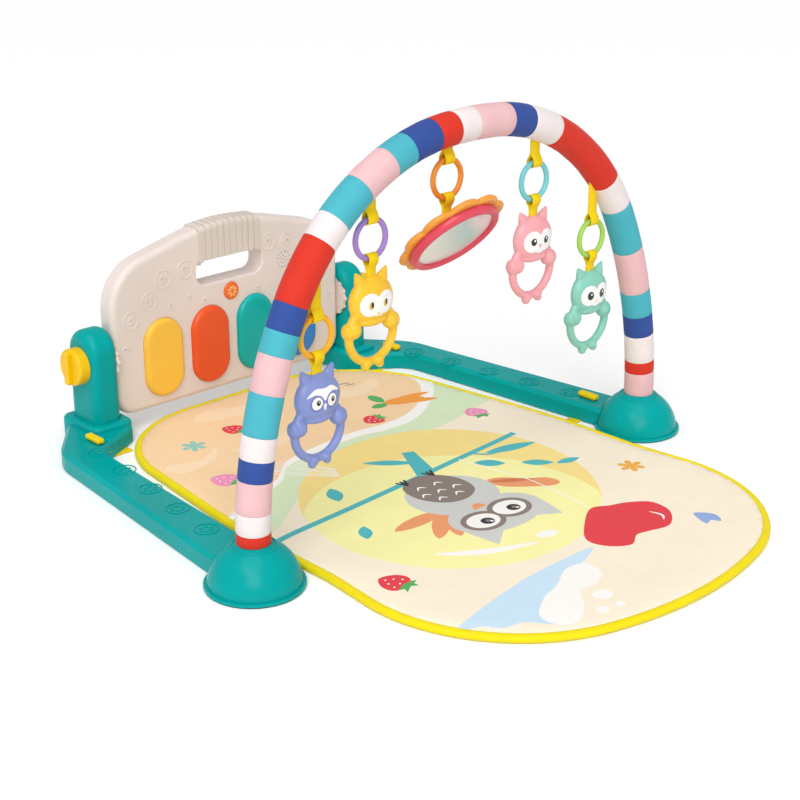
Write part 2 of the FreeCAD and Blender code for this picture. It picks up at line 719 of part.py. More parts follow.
def make_panel_rear():
    """Rear shell with the battery opening, switch slot and screw counterbores."""
    wall = size("shell_wall")
    back, seam = size("panel_back"), size("seam")
    body = new_body("panel_rear")
    body.Placement = panel_home()
    outline = sketch(body, "XZ_Plane", -back, [panel_outline()])
    feature(body, "Pad", outline, Length="Sizes.panel_back - Sizes.seam")
    dress(body, "Fillet", "Sizes.panel_back * 0.5", flat_at("y", back))
    hollow = sketch(body, "XZ_Plane", -seam, [inset(panel_outline(), wall), hand_slot(wall)],
                    boss_circles("Sizes.panel_boss"))
    cut(body, hollow, Length="Sizes.panel_back - Sizes.seam - Sizes.shell_wall")
    shanks = sketch(body, "XZ_Plane", -seam, [], boss_circles("Sizes.shank_hole"))
    cut(body, shanks, Type="ThroughAll")
    heads = sketch(body, "XZ_Plane", -(back - HEAD_SINK), [], boss_circles("Sizes.head_hole"))
    cut(body, heads, Type="ThroughAll")
    slot = sketch(body, "XZ_Plane", -(seam - 1), [hand_slot()])
    cut(body, slot, Type="ThroughAll")
    left, right, low, high = BATTERY_BOX
    x, z = SWITCH_SPOT
    half_x, half_z = SWITCH_SLOT
    openings = sketch(body, "XZ_Plane", -(seam - 1),
                      [rectangle(left, right, low, high, 3),
                       rectangle(x - half_x, x + half_x, z - half_z, z + half_z, 1)])
    cut(body, openings, Type="ThroughAll")
    rebate = sketch(body, "XZ_Plane", -(back - size("lid_thick") - 0.1),
                    [inset(rectangle(left, right, low, high, 1), -DOOR_LEDGE)])
    cut(body, rebate, Type="ThroughAll")
    axle_holes(body)


def make_battery_bay():
    """Battery door with its finger dimple, and three AA cells behind it."""
    left, right, low, high = BATTERY_BOX
    back = size("panel_back")
    body = new_body("battery_door")
    body.Placement = panel_home()
    lid = sketch(body, "XZ_Plane", -(back - size("run_gap")),
                 [inset(rectangle(left, right, low, high, 1), size("free_gap") - DOOR_LEDGE)])
    feature(body, "Pad", lid, Length="Sizes.lid_thick")
    thumb = sketch(body, "XZ_Plane", -(back - size("lid_thick") / 2), [],
                   [((left + right) / 2, high - 6, "5.0")])
    cut(body, thumb, Type="ThroughAll")
    cells = []
    radius = size("battery_radius")
    long = size("battery_long")
    gap, deep = 0.4, 2.2
    for i in range(3):
        z = (low + high) / 2 + (i - 1) * (2 * radius + gap)
        start = V((left + right - long) / 2, deep, z)
        cell = cylinder(radius, long - size("nub_long"), start, X_AXIS)
        nub = cylinder(size("nub_radius"), size("nub_long"),
                       start + V(long - size("nub_long"), 0, 0), X_AXIS)
        cells.append(cell.fuse(nub))
    direct("batteries", Part.makeCompound(cells), panel_home())


def make_handle_grip():
    """Soft ribbed grip moulded round the handle bar above the hand slot."""
    half = size("slot_half") - 4
    front, back = size("panel_front"), size("panel_back")
    skin, rib_rise, seat = 2.0, 1.1, 0.1
    low, high = size("slot_high") - 13, size("panel_peak") + 10
    room = 4 * size("panel_back")

    def bar(margin):
        """The handle bar above the hand slot, with a margin all round."""
        block = face_of(inset(panel_outline(), -margin)).extrude(V(0, 0, front + back + 2 * margin))
        block.rotate(V(0, 0, 0), X_AXIS, 90)
        block.translate(V(0, back + margin, 0))
        rims = [edge for edge in block.Edges
                if flat_at("y", back + margin)(edge) or flat_at("y", -front - margin)(edge)]
        block = block.makeFillet(back * 0.5, rims)
        slot = face_of(hand_slot(-margin)).extrude(V(0, 0, room))
        slot.rotate(V(0, 0, 0), X_AXIS, 90)
        slot.translate(V(0, room / 2, 0))
        keeper = Part.makeBox(2 * half, room, high - low, V(-half, -room / 2, low))
        return block.cut(slot).common(keeper)

    ribs, groove_wide = 10, 2.2
    pitch = 2 * half / ribs
    grip = bar(skin)
    for i in range(1, ribs):
        x = -half + i * pitch
        groove = Part.makeBox(groove_wide, room, high - low,
                              V(x - groove_wide / 2, -room / 2, low))
        grip = grip.cut(groove.cut(bar(skin - rib_rise)))
    grip = grip.cut(bar(seat))
    direct("handle_grip", grip.removeSplitter(), panel_home())


PLUNGER_REACH = 2.5
BITE = 0.5


def make_keys():
    """Four domed keys with a flange behind the panel's face and a plunger."""
    front = -size("panel_front")
    root = front + size("key_root")
    width, tall = size("key_width"), size("key_tall")
    lip = 5
    for number in range(KEYS):
        body = new_body("key_%d" % (number + 1))
        cap = sketch(body, "XZ_Plane", -root, [stadium(0, 0, width, tall)])
        feature(body, "Pad", cap, Length="Sizes.key_proud + Sizes.key_root")
        dress(body, "Fillet", "Sizes.key_proud * 0.95",
              flat_at("y", front - size("key_proud")))
        flange = sketch(body, "XZ_Plane", -root, [stadium(0, 0, width + lip, tall + lip)])
        feature(body, "Pad", flange, Length="Sizes.key_flange")
        inside = front - size("key_proud") + size("shell_wall")
        hollow = sketch(body, "XZ_Plane", -inside,
                        [inset(stadium(0, 0, width, tall), size("shell_wall"))])
        cut(body, hollow, Type="ThroughAll", Reversed=False)
        plunger = sketch(body, "XZ_Plane", -(root + PLUNGER_REACH), [],
                         [(0, 0, "Sizes.key_width * 0.12")])
        feature(body, "Pad", plunger, Length=root + PLUNGER_REACH - inside + BITE)
        place(body, key_across(number), size("hinge_line"),
              size("hinge_height") + size("key_centre"))


def make_mode_button():
    """Round sound button with a flange behind the panel's face."""
    front = -size("panel_front")
    root = front + size("button_root")
    body = new_body("mode_button")
    cap = sketch(body, "XZ_Plane", -root, [], [(0, 0, "Sizes.button_radius")])
    feature(body, "Pad", cap, Length="Sizes.button_root + Sizes.button_proud")
    dress(body, "Fillet", "Sizes.button_radius * 0.17", flat_at("y", front - size("button_proud")))
    flange = sketch(body, "XZ_Plane", -root, [], [(0, 0, "Sizes.button_radius + 1.4")])
    feature(body, "Pad", flange, Length="Sizes.key_flange")
    place(body, 0, size("hinge_line"), size("hinge_height") + size("button_height"))


def make_board():
    """Circuit board with a tongue up to the mode button, and its silicone contact pads."""
    half, low, high, corner = 135, -58, 30, 3
    tongue, tip = 14, 56
    shoulder = high + 2 * corner
    thick, deep, pad_thick = 1.6, 4.6, 4
    board = new_body("circuit_board")
    board.Placement = panel_home()
    outline = [(-half, low), (half, low), (half, high), (tongue, shoulder), (tongue, tip),
               (-tongue, tip), (-tongue, shoulder), (-half, high)]
    plate = sketch(board, "XZ_Plane", -deep, [[(x, z, corner) for x, z in outline]])
    feature(board, "Pad", plate, Length=thick)
    pads = []
    for number in range(KEYS):
        spot = V(key_across(number), deep - thick, size("key_centre"))
        pads.append(cylinder(9, pad_thick, spot, -Y_AXIS))
    spot = V(0, deep - thick, size("button_height"))
    pads.append(cylinder(5, pad_thick, spot, -Y_AXIS))
    direct("contact_pads", Part.makeCompound(pads), panel_home())


def make_speaker():
    """Small speaker glued behind its grille: a wide rim and a narrower magnet."""
    centre = V(size("speaker_across"), -size("panel_front") + size("shell_wall"),
               size("speaker_height"))
    rim, rim_thick, magnet, deep = 17, 4, 9, 9
    basket = cylinder(rim, rim_thick, centre, Y_AXIS).fuse(cylinder(magnet, deep, centre, Y_AXIS))
    direct("speaker", basket.removeSplitter(), panel_home())


def make_power_switch():
    """Slide switch: a finger pad in the rear shell's slot on a wider shoe behind it."""
    x, z = SWITCH_SPOT
    skin = size("panel_back") - size("shell_wall")
    pad_x, pad_y, pad_z = 8, 3.5, 5.4
    shoe_x, shoe_y, shoe_z = 13, 1.4, 8
    shoe_low = skin - shoe_y - 0.6
    pad = Part.makeBox(pad_x, shoe_y + pad_y, pad_z, V(x - pad_x / 2, shoe_low, z - pad_z / 2))
    shoe = Part.makeBox(shoe_x, shoe_y, shoe_z, V(x - shoe_x / 2, shoe_low, z - shoe_z / 2))
    direct("power_switch", pad.fuse(shoe).removeSplitter(), panel_home())


def make_panel_screws():
    """Screws from the rear shell into the front shell's bosses."""
    seat = size("panel_back") - HEAD_SINK
    head_radius, head_thick, shank_long = 3.0, 1.9, 15
    screws = []
    for x, z in BOSSES:
        head = cylinder(head_radius, head_thick, V(x, seat, z), Y_AXIS)
        shank = cylinder(size("thread_radius") - size("run_gap"), shank_long, V(x, seat, z),
                         -Y_AXIS)
        screws.append(head.fuse(shank).removeSplitter())
    direct("panel_screws", Part.makeCompound(screws), panel_home())


def make_panel():
    make_panel_front()
    make_panel_rear()
    make_battery_bay()
    make_handle_grip()
    make_keys()
    make_mode_button()
    make_board()
    make_speaker()
    make_power_switch()
    make_panel_screws()


# ---------------------------------------------------------------- arch
def arch_arcs():
    """Right half of the arch's centre line from the foot to the crown, in (x, z): three
    tangent arcs as (centre, radius, start angle, end angle)."""
    side_r, shoulder_r = size("side_radius"), size("shoulder_radius")
    crown_r = size("crown_radius")
    side = V(size("arch_reach") - side_r, size("arch_foot"), 0)
    crown = V(0, size("arch_top") - crown_r, 0)
    apart = crown - side
    span = apart.Length
    near, far = side_r - shoulder_r, crown_r - shoulder_r
    along = (near * near - far * far + span * span) / (2 * span)
    off = math.sqrt(near * near - along * along)
    unit = V(apart.x / span, apart.y / span, 0)
    options = [side + unit * along + V(-unit.y, unit.x, 0) * off * sign for sign in (1, -1)]
    shoulder = max(options, key=lambda spot: spot.x + spot.y)
    first = math.atan2(shoulder.y - side.y, shoulder.x - side.x)
    second = math.atan2(shoulder.y - crown.y, shoulder.x - crown.x)
    return [(side, side_r, 0, first), (shoulder, shoulder_r, first, second),
            (crown, crown_r, second, math.pi / 2)]


def on_arc(centre, radius, angle):
    """Point of an arch arc, in the arch's plane."""
    return V(centre.x + radius * math.cos(angle), size("arch_line"),
             centre.y + radius * math.sin(angle))


def arch_path():
    """The arch's centre line as edges from the right foot to the left one."""
    half = [Part.Arc(on_arc(c, r, a), on_arc(c, r, (a + b) / 2), on_arc(c, r, b)).toShape()
            for c, r, a, b in arch_arcs()[:2]]
    centre, radius, start, _ = arch_arcs()[2]
    crown = Part.Arc(on_arc(centre, radius, start), on_arc(centre, radius, math.pi / 2),
                     on_arc(centre, radius, math.pi - start)).toShape()
    mirror = [edge.mirror(V(0, 0, 0), X_AXIS) for edge in reversed(half)]
    return half + [crown] + mirror


def arch_at(across):
    """Point and upward tangent angle of the arch's centre line over an X, for |X| < reach."""
    side = 1 if across >= 0 else -1
    for centre, radius, start, end in reversed(arch_arcs()):
        reach = radius * math.cos(start) + centre.x
        if abs(across) <= reach:
            angle = math.acos((abs(across) - centre.x) / radius)
            point = on_arc(centre, radius, angle)
            tangent = V(-math.sin(angle) * side, 0, math.cos(angle))
            return V(point.x * side, point.y, point.z), tangent
    raise ValueError("outside the arch")


def pipe(edges, outer, inner):
    """A tube along tangent arcs."""
    wire = Part.Wire(edges)
    start = edges[0].valueAt(edges[0].FirstParameter)
    along = edges[0].tangentAt(edges[0].FirstParameter)

    def swept(radius):
        ring = Part.Wire(Part.makeCircle(radius, start, along))
        return wire.makePipe(Part.Face(ring))

    return swept(outer).cut(swept(inner))


def make_arch():
    """Three plastic tubes in line, joined by couplers, with a plug at each foot, and a padded
    striped sleeve over the whole length."""
    outer, bore = size("tube_radius"), size("tube_bore")
    edges = arch_path()
    direct("arch_tube_right", pipe(edges[:1], outer, bore))
    direct("arch_tube_top", pipe(edges[1:4], outer, bore))
    direct("arch_tube_left", pipe(edges[4:], outer, bore))
    direct("arch_sleeve", pipe(edges, size("sleeve_radius"), outer + size("free_gap")))

    long, slack, wall = 32, 0.7, 1.9
    centre, radius, _, end = arch_arcs()[0]
    tangent = V(-math.sin(end), 0, math.cos(end))
    start = on_arc(centre, radius, end) - tangent * long / 2
    plug = cylinder(bore - slack, long, start, tangent)
    plug = plug.cut(cylinder(bore - slack - wall, long, start, tangent))
    couplers = [plug, plug.mirror(V(0, 0, 0), X_AXIS)]
    direct("arch_couplers", Part.makeCompound(couplers))

    foot = size("arch_foot")
    low = size("floor_gap") + SOCKET_FLOOR + size("free_gap")
    tongue_slack, tongue_wall, tongue_long, base = 1.6, 2.4, 30, 3
    plugs = []
    for side in SIDES.values():
        x, y = size("arch_reach") * side, size("arch_line")
        spigot = cylinder(size("ferrule_radius"), foot - low, V(x, y, low))
        tongue = cylinder(bore - tongue_slack, tongue_long, V(x, y, foot))
        core = cylinder(bore - tongue_slack - tongue_wall, 2 * foot, V(x, y, low + base))
        plugs.append(spigot.fuse(tongue).cut(core).removeSplitter())
    direct("arch_ferrules", Part.makeCompound(plugs))


# ---------------------------------------------------------------- hanging toys
TOYS = {
    "owl_blue": (-200, 224),
    "owl_yellow": (-132, 303),
    "mirror": (-33, 343),
    "owl_pink": (91, 320),
    "owl_mint": (184, 243),
}
MIRROR_TILT = 47
MIRROR_LINK = 5
MIRROR_FRONT = 9
MIRROR_DROP = 54


def under_sleeve(across, reach):
    """Point of the arch's centre line whose underside, reach below it, lies at an X, with the
    tangent there and the direction into the arch."""
    along = across
    tries = 12
    for _ in range(tries):
        centre, tangent = arch_at(along)
        inward = V(-tangent.z, 0, tangent.x)
        if inward.z > 0:
            inward = -inward
        along += across - (centre + inward * reach).x
    return centre, tangent, inward


def make_toy_loops():
    """Ribbons whose ends are sewn flat under the sleeve, each with a bight round its ring."""
    wide, thick = size("ribbon_wide"), size("ribbon_thick")
    inner = size("sleeve_radius") + size("free_gap")
    outer = inner + thick
    sewn = outer / 2
    bore = size("loop_bore")
    loops = []
    for across, ring_z in TOYS.values():
        centre, tangent, inward = under_sleeve(across, inner)
        top = V(across, centre.y, ring_z + size("ring_radius"))
        band = cylinder(outer, wide, V(-wide / 2, 0, 0), X_AXIS)
        underside = Part.makeBox(wide, 2 * outer, outer - sewn, V(-wide / 2, -outer, -outer))
        flange = band.common(underside)
        flange.Placement = FreeCAD.Placement(centre, FreeCAD.Rotation(-Z_AXIS, inward))
        bight = cylinder(bore + thick, wide, top - V(wide / 2, 0, 0), X_AXIS)
        strap = Part.makeBox(wide, 2 * thick, centre.z - top.z,
                             V(across - wide / 2, centre.y - thick, top.z))
        loop = flange.fuse([bight, strap])
        loop = loop.cut(cylinder(bore, 2 * wide, top - V(wide, 0, 0), X_AXIS))
        loop = loop.cut(cylinder(inner, 8 * outer, centre - tangent * 4 * outer, tangent))
        pieces = sorted(loop.Solids, key=lambda solid: solid.Volume)
        loops.append(pieces[-1])
    direct("toy_loops", Part.makeCompound(loops))


def make_ring(toy, across, ring_z):
    """Split-free plastic ring in the arch's plane."""
    ring = primitive("Torus", "ring_" + toy, Radius1="Sizes.ring_radius",
                     Radius2="Sizes.ring_section")
    keep(ring, "ring_" + toy)
    place(ring, across, size("arch_line"), ring_z, X_AXIS, 90)


def make_link(toy, across, ring_z):
    """Short ribbon from the ring's lowest point to the toy."""
    wide, thick = size("ribbon_wide") - 1, size("ribbon_thick")
    bore = size("loop_bore")
    y = size("arch_line")
    low = V(across, y, ring_z - size("ring_radius"))
    drop = size("toy_drop") - size("ring_radius")
    end = drop + MIRROR_LINK if toy == "mirror" else drop
    bight = cylinder(bore + thick, wide, low - V(wide / 2, 0, 0), X_AXIS)
    strap = Part.makeBox(wide, 2 * thick, end, V(across - wide / 2, y - thick, low.z - end))
    link = bight.fuse(strap).cut(cylinder(bore, 2 * wide, low - V(wide, 0, 0), X_AXIS))
    direct("link_" + toy, link.removeSplitter())


def make_owl(toy, across, ring_z):
    """Owl rattle: a flattened head with ears, two hands and feet on a round grip loop."""
    head_high, head_wide, head_deep = 24, 26, 12
    grip_radius, bar, grip_z = 28.5, 4.5, -56
    ear_x, ear_z, ear_lean = 12.5, -13, 22
    hand_x, hand_radius = 26, 9
    foot_x, foot_y, foot_radius = 9, -1.5, 4.7
    head = primitive("Ellipsoid", toy + "_head", Radius1=head_high, Radius2=head_deep,
                     Radius3=head_wide)
    place(head, 0, 0, -head_high, Z_AXIS, 90)
    grip = primitive("Torus", toy + "_grip", Radius1=grip_radius, Radius2=bar)
    grip.Placement = FreeCAD.Placement(
        V(0, 0, grip_z), FreeCAD.Rotation(X_AXIS, 90) * FreeCAD.Rotation(Z_AXIS, 45))
    pieces = [head, grip]
    for side_name, side in SIDES.items():
        ear = primitive("Cone", "%s_ear_%s" % (toy, side_name), Radius1=8.5, Radius2=2,
                        Height=19)
        place(ear, ear_x * side, 0, ear_z, Y_AXIS, ear_lean * side)
        hand = primitive("Sphere", "%s_hand_%s" % (toy, side_name), Radius=hand_radius)
        place(hand, hand_x * side, 0, grip_z + 7, X_AXIS, 90)
        foot = primitive("Sphere", "%s_foot_%s" % (toy, side_name), Radius=foot_radius)
        place(foot, foot_x * side, foot_y, grip_z - grip_radius - 4, Z_AXIS, -90)
        pieces += [ear, hand, foot]
    owl = joined(toy, pieces)
    place(owl, across, size("arch_line"), ring_z - size("toy_drop"))


def make_mirror_toy():
    """Flower-shaped backing, bezel ring and baby-safe mirror, tilted down to the front."""
    across, ring_z = TOYS["mirror"]
    home = FreeCAD.Placement(
        V(across, size("arch_line") - MIRROR_FRONT, ring_z - MIRROR_DROP),
        FreeCAD.Rotation(X_AXIS, 180 - MIRROR_TILT))
    petal, bezel, glass = size("petal_radius"), size("bezel_radius"), size("mirror_radius")
    petals, lobe, plate = 10, 14, 6
    bulge, bulge_radius, bulge_deep = 40, 70, 12.5
    back = cylinder(petal - lobe / 2, plate, V(0, 0, -plate))
    for i in range(petals):
        angle = 2 * math.pi * i / petals
        spot = V(math.cos(angle), math.sin(angle), 0) * (petal - lobe)
        back = back.fuse(cylinder(lobe, plate, spot - V(0, 0, plate)))
    ball = Part.makeSphere(bulge_radius, V(0, 0, bulge_radius - bulge_deep))
    dome = ball.common(cylinder(bulge, bulge_deep, V(0, 0, -bulge_deep)))
    direct("mirror_back", back.fuse(dome).removeSplitter(), home)
    rim, rim_round, glass_thick = 8, 2.5, 4
    ring = cylinder(bezel, rim, V(0, 0, 0)).cut(cylinder(glass, rim, V(0, 0, 0)))
    rims = [edge for edge in ring.Edges if flat_at("z", rim)(edge)]
    direct("mirror_bezel", ring.makeFillet(rim_round, rims), home)
    direct("mirror_glass", cylinder(glass, glass_thick, V(0, 0, 0)), home)


def make_toys():
    make_toy_loops()
    for toy, (across, ring_z) in TOYS.items():
        make_ring(toy, across, ring_z)
        make_link(toy, across, ring_z)
        if toy != "mirror":
            make_owl(toy, across, ring_z)
    make_mirror_toy()


# ---------------------------------------------------------------- mat
def mat_outline():
    """Plan outline of the mat: rounder at the piano, straight between the arch sockets, wider
    and softly bowed at the front."""
    back = size("hinge_line") - 5
    front = -(back + 2 * size("free_gap") + 36)
    half_back, half_waist, half_front = 190, 230, 252
    waist = 45
    back_round, waist_round, front_round, bow_radius = 140, 300, 174, 400
    bow = math.radians(15)
    tip = front - bow_radius * (1 / math.cos(bow) - 1)
    corner = tip + half_front * math.tan(bow)
    line = size("arch_line")
    right = [(half_front, corner, front_round), (half_waist, line - waist, waist_round),
             (half_waist - 1, line + 2 * waist, 3 * waist_round), (half_back, back, back_round)]
    left = [(-x, y, radius) for x, y, radius in reversed(right)]
    return left + [(0, tip, bow_radius)] + right


def tie(x, y):
    """Webbing tie on the right: flat on the floor from the mat's edge to the slot, up through
    it, and through a toggle on top of the rail."""
    wide, thick = size("strap_wide"), size("strap_thick")
    floor_skim, stub, reach = 0.1, 3, 70
    top = size("floor_gap") + size("rail_height")
    mat = face_of(inset(mat_outline(), -size("free_gap"))).extrude(V(0, 0, size("mat_thick")))
    flat = Part.makeBox(reach + thick / 2, wide, thick, V(x - reach, y - wide / 2, floor_skim))
    riser = Part.makeBox(thick, wide, top + stub - floor_skim,
                         V(x - thick / 2, y - wide / 2, floor_skim))
    strap = flat.cut(mat).fuse(riser).removeSplitter()
    across, along, tall = size("toggle_wide"), size("toggle_long"), size("toggle_thick")
    lift = size("medallion_high") + size("free_gap") + 0.15
    toggle = Part.makeBox(across, along, tall, V(x - across / 2, y - along / 2, top + lift))
    toggle = toggle.makeFillet(0.4 * tall, toggle.Edges).cut(strap)
    return strap, toggle


def make_mat():
    """Quilted pad, its edge binding, and the ties and toggles that hold it to the legs."""
    wide = size("binding_wide")
    pad = new_body("mat_pad")
    fill = sketch(pad, "XY_Plane", 0, [inset(mat_outline(), wide)])
    feature(pad, "Pad", fill, Length="Sizes.mat_thick")
    dress(pad, "Fillet", "Sizes.mat_thick * 0.3", flat_at("z", size("mat_thick")))
    binding = new_body("mat_binding")
    band = sketch(binding, "XY_Plane", 0, [mat_outline(), inset(mat_outline(), wide)])
    feature(binding, "Pad", band, Length="Sizes.binding_thick")

    straps, toggles = [], []
    for side_name, side in SIDES.items():
        for x, y in STRAP_SLOTS[side_name]:
            strap, toggle = tie(x, y)
            if side < 0:
                strap = strap.mirror(V(0, 0, 0), X_AXIS)
                toggle = toggle.mirror(V(0, 0, 0), X_AXIS)
            straps.append(strap)
            toggles.append(toggle)
    direct("mat_straps", Part.makeCompound(straps))
    direct("mat_toggles", Part.makeCompound(toggles))


# ---------------------------------------------------------------- build, check, write
make_legs()
make_hinge()
make_panel()
make_arch()
make_toys()
make_mat()
doc.recompute()

for thing in doc.Objects:
    if "Invalid" in thing.State or "Error" in thing.State:
        raise RuntimeError("%s (%s) failed: %s" % (thing.Name, thing.Label, thing.State))
for part in parts:
    if part.Shape.isNull() or not part.Shape.isValid() or not part.Shape.Solids:
        raise RuntimeError("%s has no valid solid" % part.Label)

os.makedirs("parts", exist_ok=True)
for part in parts:
    part.Shape.exportStep("parts/%s.step" % part.Label)
    box = part.Shape.BoundBox
    print("%-18s solids %2d  volume %9.0f  x %7.1f %7.1f  y %7.1f %7.1f  z %6.1f %6.1f" % (
        part.Label, len(part.Shape.Solids), part.Shape.Volume,
        box.XMin, box.XMax, box.YMin, box.YMax, box.ZMin, box.ZMax))
print(len(parts), "nodes")
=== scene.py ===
"""Baby activity gym: a striped fabric arch with hanging toys over a printed play mat, on two
moulded legs that carry a tilting piano panel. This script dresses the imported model."""
import json
import math

import bmesh
import bpy
from mathutils import Matrix, Vector, geometry, noise
from mathutils.bvhtree import BVHTree


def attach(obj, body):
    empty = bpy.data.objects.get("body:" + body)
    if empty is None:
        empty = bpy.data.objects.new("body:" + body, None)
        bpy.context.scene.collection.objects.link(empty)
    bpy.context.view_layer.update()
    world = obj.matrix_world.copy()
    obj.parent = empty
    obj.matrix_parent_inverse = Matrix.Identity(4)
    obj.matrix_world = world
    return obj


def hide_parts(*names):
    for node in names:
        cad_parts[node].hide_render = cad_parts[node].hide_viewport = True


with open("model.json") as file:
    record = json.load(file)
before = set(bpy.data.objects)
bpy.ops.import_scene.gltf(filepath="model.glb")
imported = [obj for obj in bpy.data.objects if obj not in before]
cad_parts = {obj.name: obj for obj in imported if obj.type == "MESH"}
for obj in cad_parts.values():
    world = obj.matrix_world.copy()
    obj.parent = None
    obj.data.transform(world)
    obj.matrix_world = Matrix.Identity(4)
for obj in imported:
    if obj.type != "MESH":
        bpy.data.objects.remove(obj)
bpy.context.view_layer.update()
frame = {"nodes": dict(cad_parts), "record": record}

MM = 0.001
scene = bpy.context.scene


def placed(name, data):
    """A new object of the scene, made from its data."""
    thing = bpy.data.objects.new(name, data)
    scene.collection.objects.link(thing)
    return thing


# ---------------------------------------------------------------- camera and studio
camera = placed("camera", bpy.data.cameras.new("camera"))
camera.location = (-1.11536, -1.13483, 0.70876)
camera.rotation_euler = (math.radians(68.774), 0, math.radians(-43.604))
camera.data.lens = 73.6
camera.data.sensor_width = 36
scene.camera = camera
scene.view_settings.view_transform = "Standard"


PAINT = 0.88


def linear(red, green, blue):
    """A shader's colour from sRGB values of 0 to 255, a little darker than they look, because
    the white studio is bright."""
    def channel(value):
        value /= 255
        return PAINT * (value / 12.92 if value <= 0.04045 else ((value + 0.055) / 1.055) ** 2.4)
    return (channel(red), channel(green), channel(blue), 1)


def scaled(colour, factor):
    return tuple(min(1, c * factor) for c in colour[:3]) + (1,)


def area_light(name, place, target, size, power):
    light = bpy.data.lights.new(name, "AREA")
    light.shape = "DISK"
    light.size = size
    light.energy = power
    lamp = placed(name, light)
    lamp.location = place
    lamp.rotation_euler = (Vector(target) - Vector(place)).to_track_quat("-Z", "Y").to_euler()


def sky_panel(name, direction, spread, strength):
    """A very large, far softbox: the same light everywhere on the floor."""
    light = bpy.data.lights.new(name, "SUN")
    light.angle = math.radians(spread)
    light.energy = strength
    lamp = placed(name, light)
    lamp.rotation_euler = Vector(direction).to_track_quat("Z", "Y").to_euler()


area_light("window", (-1.5, -0.7, 1.9), (0, 0, 0.15), 0.8, 6)
sky_panel("overhead", (-0.3, -0.2, 1), 50, 1.15)
sky_panel("front", (-0.75, -0.85, 0.7), 35, 1.3)
world = bpy.data.worlds.new("studio")
world.use_nodes = True
world.node_tree.nodes["Background"].inputs["Color"].default_value = (1, 1, 1, 1)
world.node_tree.nodes["Background"].inputs["Strength"].default_value = 0.5
scene.world = world


# ---------------------------------------------------------------- materials
class Shader:
    """A Principled material and the nodes that feed it."""

    def __init__(self, name, **sockets):
        self.material = bpy.data.materials.new(name)
        self.material.use_nodes = True
        self.tree = self.material.node_tree
        self.surface = self.tree.nodes["Principled BSDF"]
        for socket, value in sockets.items():
            self.surface.inputs[socket.replace("_", " ")].default_value = value

    def put(self, socket, value):
        if isinstance(value, bpy.types.NodeSocket):
            self.tree.links.new(value, socket)
        else:
            socket.default_value = value

    def add(self, kind, inputs, **settings):
        node = self.tree.nodes.new("ShaderNode" + kind)
        for name, value in settings.items():
            setattr(node, name, value)
        for key, value in inputs.items():
            self.put(node.inputs[key], value)
        return node

    def feed(self, socket, value):
        self.put(self.surface.inputs[socket], value)

    def object_place(self):
        return self.add("TexCoord", {}).outputs["Object"]

    def cloth_place(self):
        return self.add("UVMap", {}, uv_map="cloth").outputs["UV"]

    def noise(self, place, scale, detail=2):
        node = self.add("TexNoise", {"Vector": place, "Scale": scale, "Detail": detail})
        return node.outputs["Fac"]

    def span(self, value, low, high, to_low=0, to_high=1):
        node = self.add("MapRange", {"Value": value, "From Min": low, "From Max": high,
                                     "To Min": to_low, "To Max": to_high})
        return node.outputs["Result"]

    def math(self, operation, first, second=0):
        return self.add("Math", {0: first, 1: second}, operation=operation).outputs[0]

    def mix(self, factor, first, second):
        node = self.add("Mix", {0: factor, 6: first, 7: second}, data_type="RGBA")
        return node.outputs[2]

    def bump(self, height, strength, distance):
        node = self.add("Bump", {"Height": height, "Strength": strength,
                                 "Distance": distance})
        self.feed("Normal", node.outputs["Normal"])


def moulded(name, colour, roughness=0.3, coat=0.12, grain=0.03, tone=0.05, gleam=0.3):
    """Injection-moulded plastic: faint flow marks, uneven gloss and a fine mould grain."""
    shader = Shader(name, Coat_Weight=coat, Coat_Roughness=0.12, Specular_IOR_Level=gleam)
    place = shader.object_place()
    flow = shader.span(shader.noise(place, 9, 2), 0.3, 0.7)
    shader.feed("Base Color", shader.mix(flow, scaled(colour, 1 - tone),
                                         scaled(colour, 1 + tone)))
    gloss = shader.noise(place, 24, 2)
    shader.feed("Roughness", shader.span(gloss, 0.3, 0.7, roughness - 0.03,
                                         roughness + 0.05))
    shader.bump(shader.noise(place, 900, 1), grain, 0.1 * MM)
    return shader.material


def threads(shader, across, along, pitch):
    """Height of a plain weave, from 0 to 1, on two lengths in metres."""
    turns = math.tau / pitch
    waves = [shader.math("SINE", shader.math("MULTIPLY", value, turns))
             for value in (across, along)]
    return shader.span(shader.math("MULTIPLY", *waves), -1, 1)


def woven(name, colour, pitch=1.1, roughness=0.75, sheen=0.06, tone=0.08, depth=0.35,
          crumple=0.25, on_uv=True):
    """Woven cloth: threads, uneven dye and soft creases."""
    shader = Shader(name, Sheen_Weight=sheen, Sheen_Roughness=0.4, Specular_IOR_Level=0.25)
    place = shader.object_place()
    cloth = shader.cloth_place() if on_uv else place
    split = shader.add("SeparateXYZ", {0: cloth})
    weave = threads(shader, split.outputs[0], split.outputs[1], pitch * MM)
    dye = shader.span(shader.noise(place, 40, 4), 0.3, 0.7)
    fibre = shader.math("ADD", shader.math("MULTIPLY", weave, 0.35),
                        shader.math("MULTIPLY", dye, 0.65))
    shader.feed("Base Color", shader.mix(fibre, scaled(colour, 1 - tone),
                                         scaled(colour, 1 + tone / 2)))
    shader.feed("Roughness", shader.span(dye, 0, 1, roughness - 0.05, roughness + 0.05))
    folds = shader.noise(place, 55, 3)
    height = shader.math("ADD", shader.math("MULTIPLY", weave, depth),
                         shader.math("MULTIPLY", folds, crumple * 8))
    shader.bump(height, 0.35, 0.5 * MM)
    return shader.material


